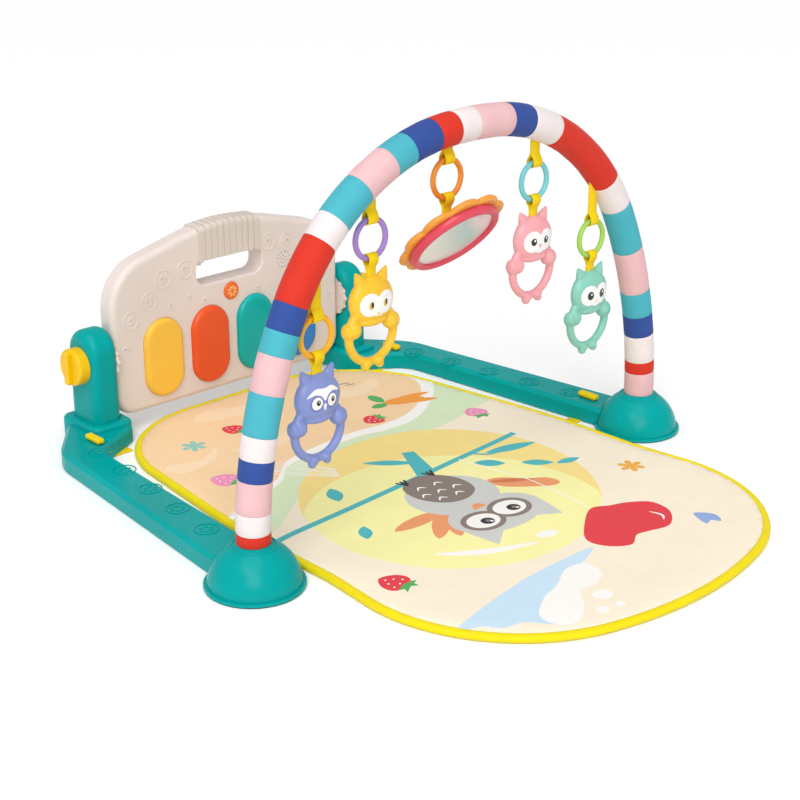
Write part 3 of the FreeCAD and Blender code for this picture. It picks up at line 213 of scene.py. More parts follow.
COLOURS = {
    "teal_plastic": (0, 162, 160), "beige_plastic": (234, 220, 213),
    "yellow_plastic": (246, 196, 0), "key_yellow": (253, 196, 70),
    "key_orange": (240, 88, 38), "key_teal": (0, 176, 172), "key_blue": (62, 132, 208),
    "button_orange": (242, 112, 48), "grey_plastic": (120, 124, 128),
    "tube_white": (236, 236, 232), "owl_blue": (136, 150, 208),
    "owl_yellow": (253, 200, 50), "owl_pink": (244, 170, 175), "owl_mint": (138, 206, 188),
    "ring_amber": (250, 180, 20), "ring_purple": (165, 130, 200),
    "ring_orange": (245, 150, 50), "ring_teal": (120, 205, 212),
    "ring_lime": (165, 215, 90), "petal_orange": (245, 160, 60),
    "bezel_red": (225, 75, 95), "board_green": (32, 110, 62),
    "silicone_grey": (150, 150, 150), "speaker_black": (34, 34, 36),
    "cell_wrap": (60, 90, 160),
}
finish = {slot: moulded(slot, linear(*colour)) for slot, colour in COLOURS.items()}
finish["teal_plastic"] = moulded("teal_plastic", linear(*COLOURS["teal_plastic"]),
                                 0.26, 0.04, 0.02, gleam=0.08)
for slot in ("key_yellow", "key_orange", "key_teal", "key_blue"):
    finish[slot] = moulded(slot, linear(*COLOURS[slot]), 0.2, 0.2, 0.01, gleam=0.2)
finish["grip_rubber"] = moulded("grip_rubber", linear(222, 210, 200), 0.55, 0.05, 0.12)
finish["black_rubber"] = moulded("black_rubber", linear(40, 40, 42), 0.7, 0, 0.2)


def steel():
    """Plated screw steel with fine turning marks."""
    shader = Shader("steel", Metallic=1.0, Base_Color=linear(186, 188, 192))
    place = shader.object_place()
    marks = shader.noise(place, 1500, 3)
    shader.feed("Roughness", shader.span(marks, 0.3, 0.7, 0.22, 0.42))
    shader.bump(marks, 0.1, 0.1 * MM)
    return shader.material


def mirror_film():
    """Baby-safe mirror: metallised film, a little hazy and not quite flat."""
    shader = Shader("mirror_film", Metallic=0.4, Base_Color=linear(246, 248, 250))
    place = shader.object_place()
    haze = shader.noise(place, 45, 3)
    shader.feed("Roughness", shader.span(haze, 0.3, 0.7, 0.16, 0.26))
    shader.bump(shader.noise(place, 30, 1), 0.15, 0.6 * MM)
    return shader.material


finish["steel"] = steel()
finish["mirror_film"] = mirror_film()
finish["ribbon_yellow"] = woven("ribbon_yellow", linear(250, 214, 10), 0.9)
finish["webbing_yellow"] = woven("webbing_yellow", linear(250, 214, 10), 1.4, depth=0.8)
finish["binding_fabric"] = woven("binding_fabric", linear(245, 224, 10), 0.9)
finish["sleeve_fabric"] = woven("sleeve_fabric", linear(250, 240, 240))
finish["mat_fabric"] = woven("mat_fabric", linear(254, 243, 220), on_uv=False)

slot_of = {part["node"]: part["material_slot"] for part in frame["record"]["subparts"]}
for node, thing in frame["nodes"].items():
    thing.data.materials.clear()
    thing.data.materials.append(finish[slot_of[node]])

# ---------------------------------------------------------------- floor
floor_shader = Shader("floor", Base_Color=(0.97, 0.97, 0.97, 1), Roughness=0.7)
floor_mesh = bpy.data.meshes.new("floor")
FLOOR_REACH = 80
floor_mesh.from_pydata([(x * FLOOR_REACH, y * FLOOR_REACH, 0)
                        for x, y in ((-1, -1), (1, -1), (1, 1), (-1, 1))], [], [(0, 1, 2, 3)])
floor_mesh.materials.append(floor_shader.material)
floor = placed("floor", floor_mesh)
floor.location.z = -0.2 * MM

# ---------------------------------------------------------------- mesh tools
def piece(name, vertices, faces, materials, body, stands_for=(), slot=None, indices=None,
          uvs=None):
    """A smooth mesh piece from points in millimetres, riding on a body."""
    mesh = bpy.data.meshes.new(name)
    mesh.from_pydata([Vector(v) * MM for v in vertices], [], faces)
    for material in materials:
        mesh.materials.append(material)
    if indices:
        mesh.polygons.foreach_set("material_index", indices)
    mesh.polygons.foreach_set("use_smooth", [True] * len(mesh.polygons))
    if uvs:
        layer = mesh.uv_layers.new(name="cloth")
        for loop in mesh.loops:
            layer.data[loop.index].uv = Vector(uvs[loop.vertex_index]) * MM
    made = placed(name, mesh)
    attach(made, body)
    if stands_for:
        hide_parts(*stands_for)
    return made


def lattice(rows, columns, close_rows=False):
    """Quads over rows of points. Each row closes on itself."""
    faces = []
    for r in range(rows if close_rows else rows - 1):
        for c in range(columns):
            up, over = (r + 1) % rows, (c + 1) % columns
            faces.append((r * columns + c, r * columns + over,
                          up * columns + over, up * columns + c))
    return faces


def smooth_path(points, steps, closed=False):
    """Catmull-Rom points through a list of points of any dimension."""
    count = len(points)
    spans = count if closed else count - 1
    path = []
    for i in range(spans):
        picks = [(i + k) % count if closed else min(max(i + k, 0), count - 1)
                 for k in (-1, 0, 1, 2)]
        a, b, c, d = (Vector(points[k]) for k in picks)
        for step in range(steps):
            t = step / steps
            path.append(0.5 * (2 * b + (c - a) * t + (2 * a - 5 * b + 4 * c - d) * t * t
                               + (3 * b - a - 3 * c + d) * t ** 3))
    if not closed:
        path.append(Vector(points[-1]))
    return path


def ellipse(x, y, across, up, turn=0, count=40):
    """Outline of an ellipse given by its two half sizes."""
    angle = math.radians(turn)
    points = []
    for i in range(count):
        t = math.tau * i / count
        u, v = across * math.cos(t), up * math.sin(t)
        points.append((x + u * math.cos(angle) - v * math.sin(angle),
                       y + u * math.sin(angle) + v * math.cos(angle)))
    return points


def blob(points, steps=6):
    """Smooth closed outline through points."""
    return [tuple(p) for p in smooth_path(points, steps, closed=True)]


def stroke(points, width, steps=6, taper=False):
    """Outline of a brush line along points."""
    path = smooth_path(points, steps)
    left, right = [], []
    for i, here in enumerate(path):
        along = path[min(i + 1, len(path) - 1)] - path[max(i - 1, 0)]
        side = Vector((-along[1], along[0])).normalized() * width / 2
        if taper:
            side *= math.sin(math.pi * (0.06 + 0.88 * i / (len(path) - 1)))
        left.append(tuple(here + side))
        right.append(tuple(here - side))
    return left + right[::-1]


def anticlockwise(ring):
    """The outline, turned round if it runs clockwise."""
    area = sum(a[0] * b[1] - a[1] * b[0] for a, b in zip(ring, ring[1:] + ring[:1]))
    return ring if area > 0 else ring[::-1]


def inside(point, ring):
    """True if a point lies inside a closed outline."""
    x, y = point
    odd = False
    for (x1, y1), (x2, y2) in zip(ring, ring[1:] + ring[:1]):
        if (y1 > y) != (y2 > y) and x < x1 + (y - y1) * (x2 - x1) / (y2 - y1):
            odd = not odd
    return odd


def painted(outline, shapes, spacing, bare=True):
    """Triangles over an outline, split along every painted shape. shapes are (colour index,
    outline) with the last one on top. Returns plan points, triangles and colour indices. With
    bare False, what no shape covers is left out."""
    rings = [anticlockwise(ring) for ring in [outline] + [ring for _, ring in shapes]]
    points, loops = [], []
    for ring in rings:
        loops.append(list(range(len(points), len(points) + len(ring))))
        points += [Vector(p) for p in ring]
    xs, ys = [p[0] for p in outline], [p[1] for p in outline]
    row, y = 0, min(ys) + spacing / 2
    while y < max(ys):
        x = min(xs) + spacing / 2 + (row % 2) * spacing / 2
        while x < max(xs):
            if inside((x, y), outline):
                points.append(Vector((x, y)))
            x += spacing
        row += 1
        y += spacing * 0.87
    flat, _, triangles, _, _, origins = geometry.delaunay_2d_cdt(points, [], loops, 1, 1e-5)
    colours = [0] + [colour for colour, _ in shapes]
    kept = [(triangle, colours[max(covers)]) for triangle, covers in zip(triangles, origins)
            if 0 in covers and (bare or len(covers) > 1)]
    used = sorted({v for triangle, _ in kept for v in triangle})
    number = {v: i for i, v in enumerate(used)}
    return ([flat[v] for v in used], [tuple(number[v] for v in t) for t, _ in kept],
            [colour for _, colour in kept])


# ---------------------------------------------------------------- arch sleeve
ARCH_LINE = -63
ARCH_FOOT = (280, 43.5)
ARCH_BENDS = [(480, 26.47), (240, 85.948), (450, 90)]
SLEEVE_RADIUS = 17


def arch_arcs():
    """Arcs of the arch's right half, as (centre x, centre z, radius, start, end)."""
    x, z = ARCH_FOOT
    start = 0
    arcs = []
    for radius, until in ARCH_BENDS:
        end = math.radians(until)
        cx, cz = x - radius * math.cos(start), z - radius * math.sin(start)
        arcs.append((cx, cz, radius, start, end))
        x, z = cx + radius * math.cos(end), cz + radius * math.sin(end)
        start = end
    return arcs


ARCS = arch_arcs()
ARCH_LENGTH = 2 * sum(radius * (end - start) for _, _, radius, start, end in ARCS)


def arch_at(length):
    """Point and direction of the arch's centre line, in XZ, from the left foot."""
    left = length <= ARCH_LENGTH / 2
    rest = length if left else ARCH_LENGTH - length
    for cx, cz, radius, start, end in ARCS:
        span = radius * (end - start)
        if rest <= span or end == ARCS[-1][4]:
            break
        rest -= span
    angle = start + rest / radius
    point = Vector((cx + radius * math.cos(angle), cz + radius * math.sin(angle)))
    along = Vector((-math.sin(angle), math.cos(angle)))
    if left:
        return Vector((-point[0], point[1])), Vector((-along[0], along[1]))
    return point, -along


STRIPES = [
    ("red", 11), ("white", 20), ("pink", 31), ("blue", 20), ("white", 22), ("aqua", 39),
    ("pink", 35), ("aqua", 22), ("blue", 25), ("red", 61), ("white", 24), ("aqua", 40),
    ("pink", 39), ("aqua", 26), ("blue", 34), ("red", 26), ("white", 26), ("pink", 47),
    ("blue", 31), ("white", 41), ("red", 108), ("white", 38), ("aqua", 58), ("pink", 53),
    ("aqua", 30), ("blue", 25), ("white", 32), ("red", 14), ("pink", 27),
]
SLEEVE_CLOTH = {
    "red": (220, 52, 34), "white": (244, 233, 232), "pink": (238, 192, 195),
    "blue": (50, 80, 156), "aqua": (76, 182, 198),
}


def make_sleeve():
    """Padded sleeve of sewn stripes, pinched a little at every seam."""
    names = list(SLEEVE_CLOTH)
    cloths = [woven("sleeve_" + name, linear(*SLEEVE_CLOTH[name]), 1.0) for name in names]
    around = 48
    scale = ARCH_LENGTH / sum(width for _, width in STRIPES)
    rows = [(0.0, -2.6, 0)]
    at = 0.0
    for name, width in STRIPES:
        width *= scale
        colour = names.index(name)
        count = max(2, round(width / 5))
        stops = [0, 0.35, 1.2] + [1.2 + (width - 2.4) * i / count for i in range(1, count)]
        stops += [width - 1.2, width - 0.35, width]
        for stop in stops:
            seam = min(stop, width - stop)
            pinch = -0.45 * math.exp(-(seam / 0.6) ** 2)
            rows.append((at + stop, pinch, colour))
        at += width
    rows.append((ARCH_LENGTH, -2.6, rows[-1][2]))
    vertices, uvs = [], []
    for length, pinch, _ in rows:
        spot, along = arch_at(length)
        out = Vector((-along[1], along[0]))
        for i in range(around):
            angle = math.tau * i / around
            ripple = 0.22 * noise.noise(Vector((length / 14, 2.2 * math.cos(angle),
                                               2.2 * math.sin(angle))))
            radius = SLEEVE_RADIUS - 0.5 + pinch + ripple
            side = radius * math.cos(angle)
            vertices.append((spot[0] + out[0] * side, ARCH_LINE + radius * math.sin(angle),
                             spot[1] + out[1] * side))
            uvs.append((SLEEVE_RADIUS * angle, length))
    faces = lattice(len(rows), around)
    indices = [rows[min(r + 1, len(rows) - 1)][2] for r in range(len(rows) - 1)
               for _ in range(around)]
    sleeve = piece("arch_sleeve_cloth", vertices, faces, cloths, "arch", ["arch_sleeve"],
                   "sleeve_fabric", indices, uvs)


make_sleeve()

# ---------------------------------------------------------------- ribbons and rings
RING_RADIUS = 18.7
TOY_DROP = 35
TOYS = {
    "blue": ("owl_blue", -200, 224), "yellow": ("owl_yellow", -132, 303),
    "mirror": ("mirror", -33, 343), "pink": ("owl_pink", 91, 320),
    "mint": ("owl_mint", 184, 243),
}


def sleeve_underside(x):
    """Z of the sleeve's lower surface over an X."""
    lows = []
    for i in range(400):
        spot, _ = arch_at(ARCH_LENGTH * i / 399)
        if abs(x - spot[0]) < SLEEVE_RADIUS:
            lows.append(spot[1] - math.sqrt(SLEEVE_RADIUS ** 2 - (x - spot[0]) ** 2))
    return min(lows)


def ribbon(name, path, width, thick, seat, material, body, stands_for, slot):
    """A ribbon swept along a path of (u, v). seat(side, u, v) puts its points in the model's frame."""
    half, edge = width / 2, thick / 2
    lip = 0.4
    section = [(-half, 0), (lip - half, edge), (0, edge * 1.05), (half - lip, edge),
               (half, 0), (half - lip, -edge), (0, -edge * 1.05), (lip - half, -edge)]
    vertices, uvs = [], []
    length = 0
    for i, here in enumerate(path):
        if i:
            length += (here - path[i - 1]).length
        along = (path[min(i + 1, len(path) - 1)] - path[max(i - 1, 0)]).normalized()
        out = Vector((-along[1], along[0]))
        for side, depth in section:
            vertices.append(seat(side, here[0] + out[0] * depth, here[1] + out[1] * depth))
            uvs.append((side, length))
    columns = len(section)
    faces = lattice(len(path), columns)
    last = (len(path) - 1) * columns
    faces += [tuple(range(columns))[::-1], tuple(range(last, last + columns))]
    made = piece(name, vertices, faces, [material], body, [stands_for], slot, uvs=uvs)
    return made, length


def loop_path(end, middle, turn):
    """Two layers of ribbon from an end to a bight round a ring section. turn is 1 if the bight
    hangs below the end and -1 if it stands above it."""
    half = [(0.55, end), (0.55, middle + 11 * turn), (1.3, middle + 8 * turn),
            (3.8, middle + 4 * turn), (4.75, middle), (3.5, middle - 3.3 * turn),
            (0, middle - 4.75 * turn)]
    points = [(ARCH_LINE - y, z) for y, z in half]
    points += [(ARCH_LINE + y, z) for y, z in half[-2::-1]]
    return smooth_path(points, 5)


def make_ribbons():
    """Ribbons that hang from the sleeve's seam, and the short ones between ring and toy."""
    cloth = finish["ribbon_yellow"]
    for colour, (toy, across, ring_z) in TOYS.items():
        def seat(side, y, z, across=across):
            return across + side, y, z
        top = max(sleeve_underside(across - 6.5), sleeve_underside(across + 6.5)) + 3
        end = ring_z - TOY_DROP - (9 if toy == "mirror" else 3)
        hung, length = ribbon("loop_ribbon_" + colour,
                              loop_path(top, ring_z + RING_RADIUS, 1), 13, 1.0, seat, cloth,
                              "arch", "toy_loops", "ribbon_yellow")
        hung, length = ribbon("link_ribbon_" + colour,
                              loop_path(end, ring_z - RING_RADIUS, -1), 12, 1.0, seat, cloth,
                              "toy_" + colour, "link_" + toy, "ribbon_yellow")


make_ribbons()


# ---------------------------------------------------------------- owls
def add_ball(mesh, centre, radii, turn=0):
    """A squashed ball, turned about Y by degrees, added to a bmesh in millimetres."""
    matrix = (Matrix.Translation(centre) @ Matrix.Rotation(math.radians(turn), 4, "Y")
              @ Matrix.Diagonal((*radii, 1)))
    bmesh.ops.create_uvsphere(mesh, u_segments=32, v_segments=20, radius=1, matrix=matrix)


def add_tube(mesh, points, radius, columns=12):
    """A round tube along a closed ring of points, added to a bmesh."""
    path = [Vector(p) for p in points]
    rings = []
    for i, here in enumerate(path):
        along = (path[(i + 1) % len(path)] - path[i - 1]).normalized()
        side = along.cross(Vector((0, 1, 0))).normalized()
        lift = side.cross(along)
        rings.append([mesh.verts.new(here + radius * (side * math.cos(math.tau * k / columns)
                                                      + lift * math.sin(math.tau * k / columns)))
                      for k in range(columns)])
    for i, ring in enumerate(rings):
        ahead = rings[(i + 1) % len(rings)]
        for k in range(columns):
            over = (k + 1) % columns
            mesh.faces.new((ring[k], ring[over], ahead[over], ahead[k]))


def melted(name, mesh, voxel, rounds):
    """The bmesh's overlapping solids as one blended skin, as mesh data in metres."""
    data = bpy.data.meshes.new(name)
    bmesh.ops.scale(mesh, vec=(MM, MM, MM), verts=mesh.verts)
    bmesh.ops.recalc_face_normals(mesh, faces=mesh.faces)
    mesh.to_mesh(data)
    mesh.free()
    body = placed(name, data)
    remesh = body.modifiers.new("melt", "REMESH")
    remesh.mode = "VOXEL"
    remesh.voxel_size = voxel * MM
    smoothing = body.modifiers.new("soften", "SMOOTH")
    smoothing.iterations = rounds
    smoothing.factor = 0.5
    bpy.context.view_layer.update()
    evaluated = body.evaluated_get(bpy.context.evaluated_depsgraph_get())
    made = bpy.data.meshes.new_from_object(evaluated)
    bpy.data.objects.remove(body)
    made.polygons.foreach_set("use_smooth", [True] * len(made.polygons))
    return made


MASK = [(-9.3, -25, 11.2, 11), (9.3, -25, 11.2, 11), (0, -31, 8, 6.5)]


def owl_skin():
    """Owl rattle about the middle of its head's top: head, ears, hands, feet and grip."""
    mesh = bmesh.new()
    add_ball(mesh, (0, 0, -24), (26.6, 11.5, 24))
    add_ball(mesh, (0, 0, -32), (24.5, 11, 14.5))
    for side in (-1, 1):
        ear = [(11, 0, -11), (14, 0, -4), (16.5, 0, 0.5), (18.6, 0, 4)]
        for (x, y, z), radius in zip(ear, (8, 6.2, 4, 2)):
            add_ball(mesh, (x * side, y, z), (radius, radius * 0.75, radius))
        add_ball(mesh, (23 * side, -0.8, -48.5), (7.5, 8, 8.6))
        add_ball(mesh, (29 * side, 0.4, -49.5), (5.8, 7, 8.2))
        add_ball(mesh, (9 * side, -1.5, -88), (4.2, 4.6, 4.4))
        add_ball(mesh, (7.5 * side, -2.5, -84.5), (5.5, 4.4, 4.4))
    add_ball(mesh, (0, -1.5, -43), (18, 8, 5.5))
    loop = [(28.3 * math.cos(math.tau * i / 56), 0,
             -56 + 28.3 * math.sin(math.tau * i / 56)) for i in range(56)]
    add_tube(mesh, loop, 4.3)
    return melted("owl_skin", mesh, 0.9, 5)


SKIN = owl_skin()
INK = {
    "white": (252, 252, 250), "black": (28, 24, 28), "iris_gold": (233, 188, 60),
    "beak_gold": (255, 226, 120), "beak_pink": (238, 160, 170), "slate": (70, 66, 74),
    "brow": (226, 214, 170), "leaf_dark": (46, 92, 84), "blue_line": (118, 130, 196),
}


def inks(names):
    return [moulded("ink_" + name, linear(*INK[name]), 0.32, 0.3, 0.01, 0.01)
            for name in names]


def owl_face(colour):
    """Printed mask, eyes and beak of one owl as (inks, shapes)."""
    shapes = [(0, ellipse(*lobe)) for lobe in MASK]
    eyes = [(-8.8, -25), (8.8, -25)]
    if colour == "yellow":
        names = ["white", "iris_gold", "black", "beak_gold", "brow"]
        for x, y in eyes:
            shapes += [(1, ellipse(x, y - 0.6, 2.7, 3.8)),
                       (2, ellipse(x + 1.1, y, 1.5, 2.9)),
                       (4, stroke([(x - 3.6, y + 4.6), (x, y + 6.2), (x + 3.4, y + 5)], 0.45))]
        shapes.append((3, blob([(-1.8, -34), (0, -33), (1.8, -34), (0, -37.5)])))
    elif colour == "pink":
        names = ["white", "black", "beak_pink"]
        for x, y in eyes:
            side = math.copysign(1, x)
            shapes += [(1, ellipse(x, y, 3.6, 3.9)), (0, ellipse(x + 1.0, y + 1.3, 1.2, 1.3)),
                       (1, stroke([(x + 3.2 * side, y + 1.2), (x + 4.6 * side, y + 1.7)], 0.6)),
                       (1, stroke([(x + 3.4 * side, y - 0.1), (x + 4.8 * side, y)], 0.6))]
        shapes.append((2, blob([(-1.9, -29.2), (0, -28), (1.9, -29.2), (0, -32.4)])))
    elif colour == "mint":
        names = ["white", "leaf_dark", "black", "beak_gold"]
        for x, y in eyes:
            shapes += [(1, ellipse(x, y, 4.4, 4.8)), (2, ellipse(x, y, 2.9, 3.3)),
                       (0, ellipse(x + 1.1, y + 1.3, 1.1, 1.2))]
        shapes.append((3, blob([(-1.6, -31), (0, -30), (1.6, -31), (0, -34)])))
    else:
        names = ["white", "blue_line", "black", "slate"]
        brow = blob([(-19, -19), (-10, -12), (0, -12.5), (10, -12), (19, -19), (9, -17),
                     (0, -24), (-9, -17)])
        shapes = [(0, brow)]
        for x, y in eyes:
            shapes += [(1, ellipse(x, y - 0.5, 7.6, 8)), (0, ellipse(x, y - 0.5, 5.7, 6.1)),
                       (3, ellipse(x + 1.2, y, 2.3, 2.8)), (2, ellipse(x + 1.5, y, 1.3, 1.9)),
                       (0, ellipse(x + 1.9, y + 0.9, 0.6, 0.7))]
        shapes.append((0, blob([(-2, -28.5), (0, -27), (2, -28.5), (0, -34)])))
    return names, shapes


def make_owl(colour):
    """One owl: the shared skin in its own plastic, with its printed face."""
    toy, across, ring_z = TOYS[colour]
    top = Vector((across, ARCH_LINE, ring_z - TOY_DROP))
    data = SKIN.copy()
    data.transform(Matrix.Translation(top * MM))
    data.materials.clear()
    data.materials.append(finish[toy])
    skin = placed(toy + "_skin", data)
    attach(skin, "toy_" + colour)
    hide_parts(toy)

    names, shapes = owl_face(colour)
    tree = BVHTree.FromPolygons([v.co for v in SKIN.vertices],
                                [tuple(p.vertices) for p in SKIN.polygons])
    outline = [(-24, -42), (24, -42), (24, -8), (-24, -8)]
    plan, triangles, indices = painted(outline, shapes, 2.0, bare=False)
    vertices = []
    for x, z in plan:
        hit, normal, _, _ = tree.ray_cast(Vector((x, -60, z)) * MM, Vector((0, 1, 0)))
        spot = hit / MM + normal * 0.22 if hit else Vector((x, 0, z))
        vertices.append(spot + top)
    piece("owl_face_" + colour, vertices, [t[::-1] for t in triangles], inks(names),
          "toy_" + colour, slot=toy, indices=indices)


for owl in ("blue", "yellow", "pink", "mint"):
    make_owl(owl)

# ---------------------------------------------------------------- mirror toy
MIRROR_MIDDLE = (TOYS["mirror"][1], -72, 289)
MIRROR_TURN = 133
PETALS, PETAL_DEPTH = 10, 6.5
BEZEL_OUTER, BEZEL_INNER, BEZEL_HEIGHT = 49, 40.5, 8


def on_mirror(points):
    """Points of the mirror toy, which faces local +Z, in the model's frame."""
    turn = Matrix.Translation(MIRROR_MIDDLE) @ Matrix.Rotation(math.radians(MIRROR_TURN), 4, "X")
    return [turn @ Vector(p) for p in points]


def scallop(angle):
    """What the petals' outline adds to the backing's radius at an angle."""
    return -PETAL_DEPTH + PETAL_DEPTH * abs(math.cos(PETALS * angle / 2)) ** 0.7


def lathe(profile, around=96, reach=None):
    """Points and quads of a profile of (radius, z, share) turned about local Z. reach(angle)
    is added to the radius, times the point's share."""
    points = []
    for radius, z, share in profile:
        for i in range(around):
            angle = math.tau * i / around
            r = radius + (reach(angle) * share if reach else 0)
            points.append((r * math.cos(angle), r * math.sin(angle), z))
    return points, lattice(len(profile), around)


def make_mirror_toy():
    """Flower-shaped backing and red ring."""
    profile = [(0.1, -12.4, 0), (12, -12.0, 0), (26, -10.4, 0), (38, -8.2, 0), (46, -6.4, 0.1),
               (52, -6.0, 0.6), (56.5, -5.4, 1), (57.8, -3.6, 1), (57.9, -2.0, 1),
               (56.8, -0.6, 1), (54.5, 0.1, 0.95), (51, -0.4, 0.6), (48, -0.3, 0)]
    points, faces = lathe(profile, 160, scallop)
    piece("petal_backing", on_mirror(points), faces, [finish["petal_orange"]], "toy_mirror",
          ["mirror_back"], "petal_orange")
    ring = [(BEZEL_OUTER - 0.6, -0.4, 0), (BEZEL_OUTER, 1.4, 0), (BEZEL_OUTER - 0.3, 4.6, 0),
            (BEZEL_OUTER - 2.2, 7.2, 0), (BEZEL_OUTER - 4.6, BEZEL_HEIGHT, 0),
            (BEZEL_INNER + 1.4, 7.0, 0), (BEZEL_INNER, 5.2, 0), (BEZEL_INNER, 3.2, 0)]
    points, faces = lathe(ring)
    piece("red_bezel", on_mirror(points), faces, [finish["bezel_red"]], "toy_mirror",
          ["mirror_bezel"], "bezel_red")


make_mirror_toy()

# ---------------------------------------------------------------- play mat
BINDING_WIDE = 7
MAT_LOW, MAT_EDGE, MAT_FULL = 0.4, 6.4, 8.9
MAT_CORNERS = [(-190, 330, 140), (-229, 27, 900), (-230, -108, 300), (-252, -313.2, 174),
               (0, -380.7, 400), (252, -313.2, 174), (230, -108, 300), (229, 27, 900),
               (190, 330, 140)]
INKS = {
    "cream": (255, 242, 218), "peach": (252, 216, 170), "shade": (254, 226, 188),
    "paper": (255, 253, 248), "green": (222, 240, 200), "gold": (255, 230, 144),
    "pale": (255, 250, 174), "branch": (78, 188, 194), "grey": (210, 212, 208),
    "brown": (140, 126, 118), "dark": (48, 42, 50), "orange": (242, 160, 108),
    "umber": (214, 124, 80), "red": (232, 62, 72), "leaf": (84, 178, 96),
    "sky": (205, 232, 250), "blue": (150, 176, 226), "rose": (244, 150, 190),
    "carrot": (248, 160, 60), "flower": (244, 178, 62), "moss": (150, 205, 190),
}


def rounded(corners, step=6):
    """Closed outline through corners of (x, y, radius), with true arcs at the corners."""
    points = []
    count = len(corners)
    for i, (x, y, radius) in enumerate(corners):
        here = Vector((x, y))
        behind = (Vector(corners[i - 1][:2]) - here).normalized()
        ahead = (Vector(corners[(i + 1) % count][:2]) - here).normalized()
        half = behind.angle(ahead) / 2
        start = here + behind * radius / math.tan(half)
        centre = here + (behind + ahead).normalized() * radius / math.sin(half)
        arm = start - centre
        sweep = math.pi - 2 * half
        turn = 1 if behind.cross(ahead) < 0 else -1
        steps = max(2, round(radius * sweep / step))
        for k in range(steps + 1):
            angle = turn * sweep * k / steps
            points.append((centre[0] + arm[0] * math.cos(angle) - arm[1] * math.sin(angle),
                           centre[1] + arm[0] * math.sin(angle) + arm[1] * math.cos(angle)))
    return points


def spread(points, step):
    """A closed outline with its long straight stretches divided."""
    dense = []
    for a, b in zip(points, points[1:] + points[:1]):
        a, b = Vector(a), Vector(b)
        count = max(1, math.ceil((b - a).length / step))
        dense += [tuple(a.lerp(b, k / count)) for k in range(count)]
    return dense


def outward(points, i):
    """Outward direction at one point of a closed outline that runs anticlockwise."""
    along = Vector(points[(i + 1) % len(points)]) - Vector(points[i - 1])
    return Vector((along[1], -along[0])).normalized()


def leaf(x1, y1, x2, y2, wide, name="branch", blunt=0.8):
    """Leaf between two tips. The lower blunt is, the rounder are its ends."""
    a, b = Vector((x1, y1)), Vector((x2, y2))
    side = Vector((a[1] - b[1], b[0] - a[0])).normalized() * wide / 2
    steps = 12
    shares = [(i / steps, math.sin(math.pi * i / steps) ** blunt) for i in range(steps + 1)]
    one = [tuple(a.lerp(b, t) + side * swell) for t, swell in shares]
    other = [tuple(a.lerp(b, t) - side * swell) for t, swell in shares[-2:0:-1]]
    return name, one + other


def strawberry(x, y, size, turn, name="red"):
    """Strawberry with seeds and a leafy top, as painted shapes. turn is where its top points."""
    up = Vector((math.cos(math.radians(turn)), math.sin(math.radians(turn))))
    side = Vector((-up[1], up[0]))

    def at(u, v):
        return tuple(Vector((x, y)) + side * u * size + up * v * size)
    shapes = [(name, blob([at(0, -1), at(-0.75, -0.45), at(-0.9, 0.3), at(-0.4, 0.75),
                           at(0.4, 0.75), at(0.9, 0.3), at(0.75, -0.45)], 5)),
              ("leaf", [at(0, 0.5), at(-0.7, 0.55), at(-0.45, 0.8), at(-0.7, 1.1), at(0, 0.95),
                        at(0.3, 1.3), at(0.4, 0.95), at(0.8, 0.9), at(0.55, 0.7)])]
    for u, v in ((-0.5, 0.2), (0, 0.3), (0.5, 0.2), (-0.3, -0.25), (0.3, -0.25), (0, -0.6)):
        shapes.append(("paper", ellipse(*at(u, v), size * 0.07, size * 0.07, count=8)))
    return shapes


def blossom(x, y, size, name):
    """Six-armed flower."""
    ring = []
    for i in range(60):
        angle = math.tau * i / 60
        reach = size * (0.3 + 0.7 * abs(math.cos(3 * angle)) ** 0.8)
        ring.append((x + reach * math.cos(angle), y + reach * math.sin(angle)))
    return name, ring


DISC = (-17, -56, 172, 156, 45)


def moon():
    """The pale disc inside the golden one: where two circles overlap."""
    one = ellipse(*DISC, count=110)
    two = ellipse(-52, -107, 158, 158, count=96)
    ring = [p for p in one if inside(p, two)] + [p for p in two if inside(p, one)]
    return sorted(ring, key=lambda p: math.atan2(p[1] + 81, p[0] + 33))


def backdrop():
    """Peach field at the piano, its pale edge and the green band, and the golden disc."""
    def beyond(line):
        """Outline of all that lies between a smooth line and the mat's far end."""
        return [tuple(p) for p in smooth_path(line, 6)] + [(-420, 420), (420, 420)]
    green = beyond([(320, 150), (250, 112), (194, 96), (149, 86), (98, 78), (55, 88),
                    (16, 108), (-52, 89), (-108, 61), (-133, 46), (-184, 10), (-208, -2),
                    (-320, -40)])
    edge = beyond([(207, 330), (210, 240), (204, 200), (182, 168), (144, 138), (98, 115),
                   (51, 113), (10, 121), (-87, 114), (-130, 82), (-219, 50),
                   (-320, 30)])
    peach = beyond([(180, 330), (192, 250), (190, 215), (176, 185), (141, 152), (100, 132),
                    (59, 129), (19, 134), (-35, 132), (-87, 122), (-130, 90), (-219, 58),
                    (-320, 38)])
    shapes = [("green", green), ("paper", edge), ("peach", peach),
              ("shade", blob([(-60, 300), (-20, 285), (30, 290), (20, 270), (-40, 262),
                              (-90, 280)])),
              ("shade", blob([(-190, 200), (-150, 190), (-120, 205), (-140, 180), (-185, 172)])),
              ("shade", blob([(-110, 190), (-60, 180), (-10, 196), (-30, 170), (-90, 162)])),
              ("shade", blob([(60, 250), (110, 236), (150, 246), (140, 222), (90, 216)])),
              ("gold", ellipse(*DISC, count=110)),
              ("pale", moon())]
    for k in range(11):
        bend = 5 * math.sin(k * 1.7)
        shapes.append(("paper", stroke([(-128 + 6 * k, 134 - k), (-112 + 4 * k, 96 + bend),
                                        (-72 + k, 52 + 2 * k)], 1.2, 4)))
    return shapes


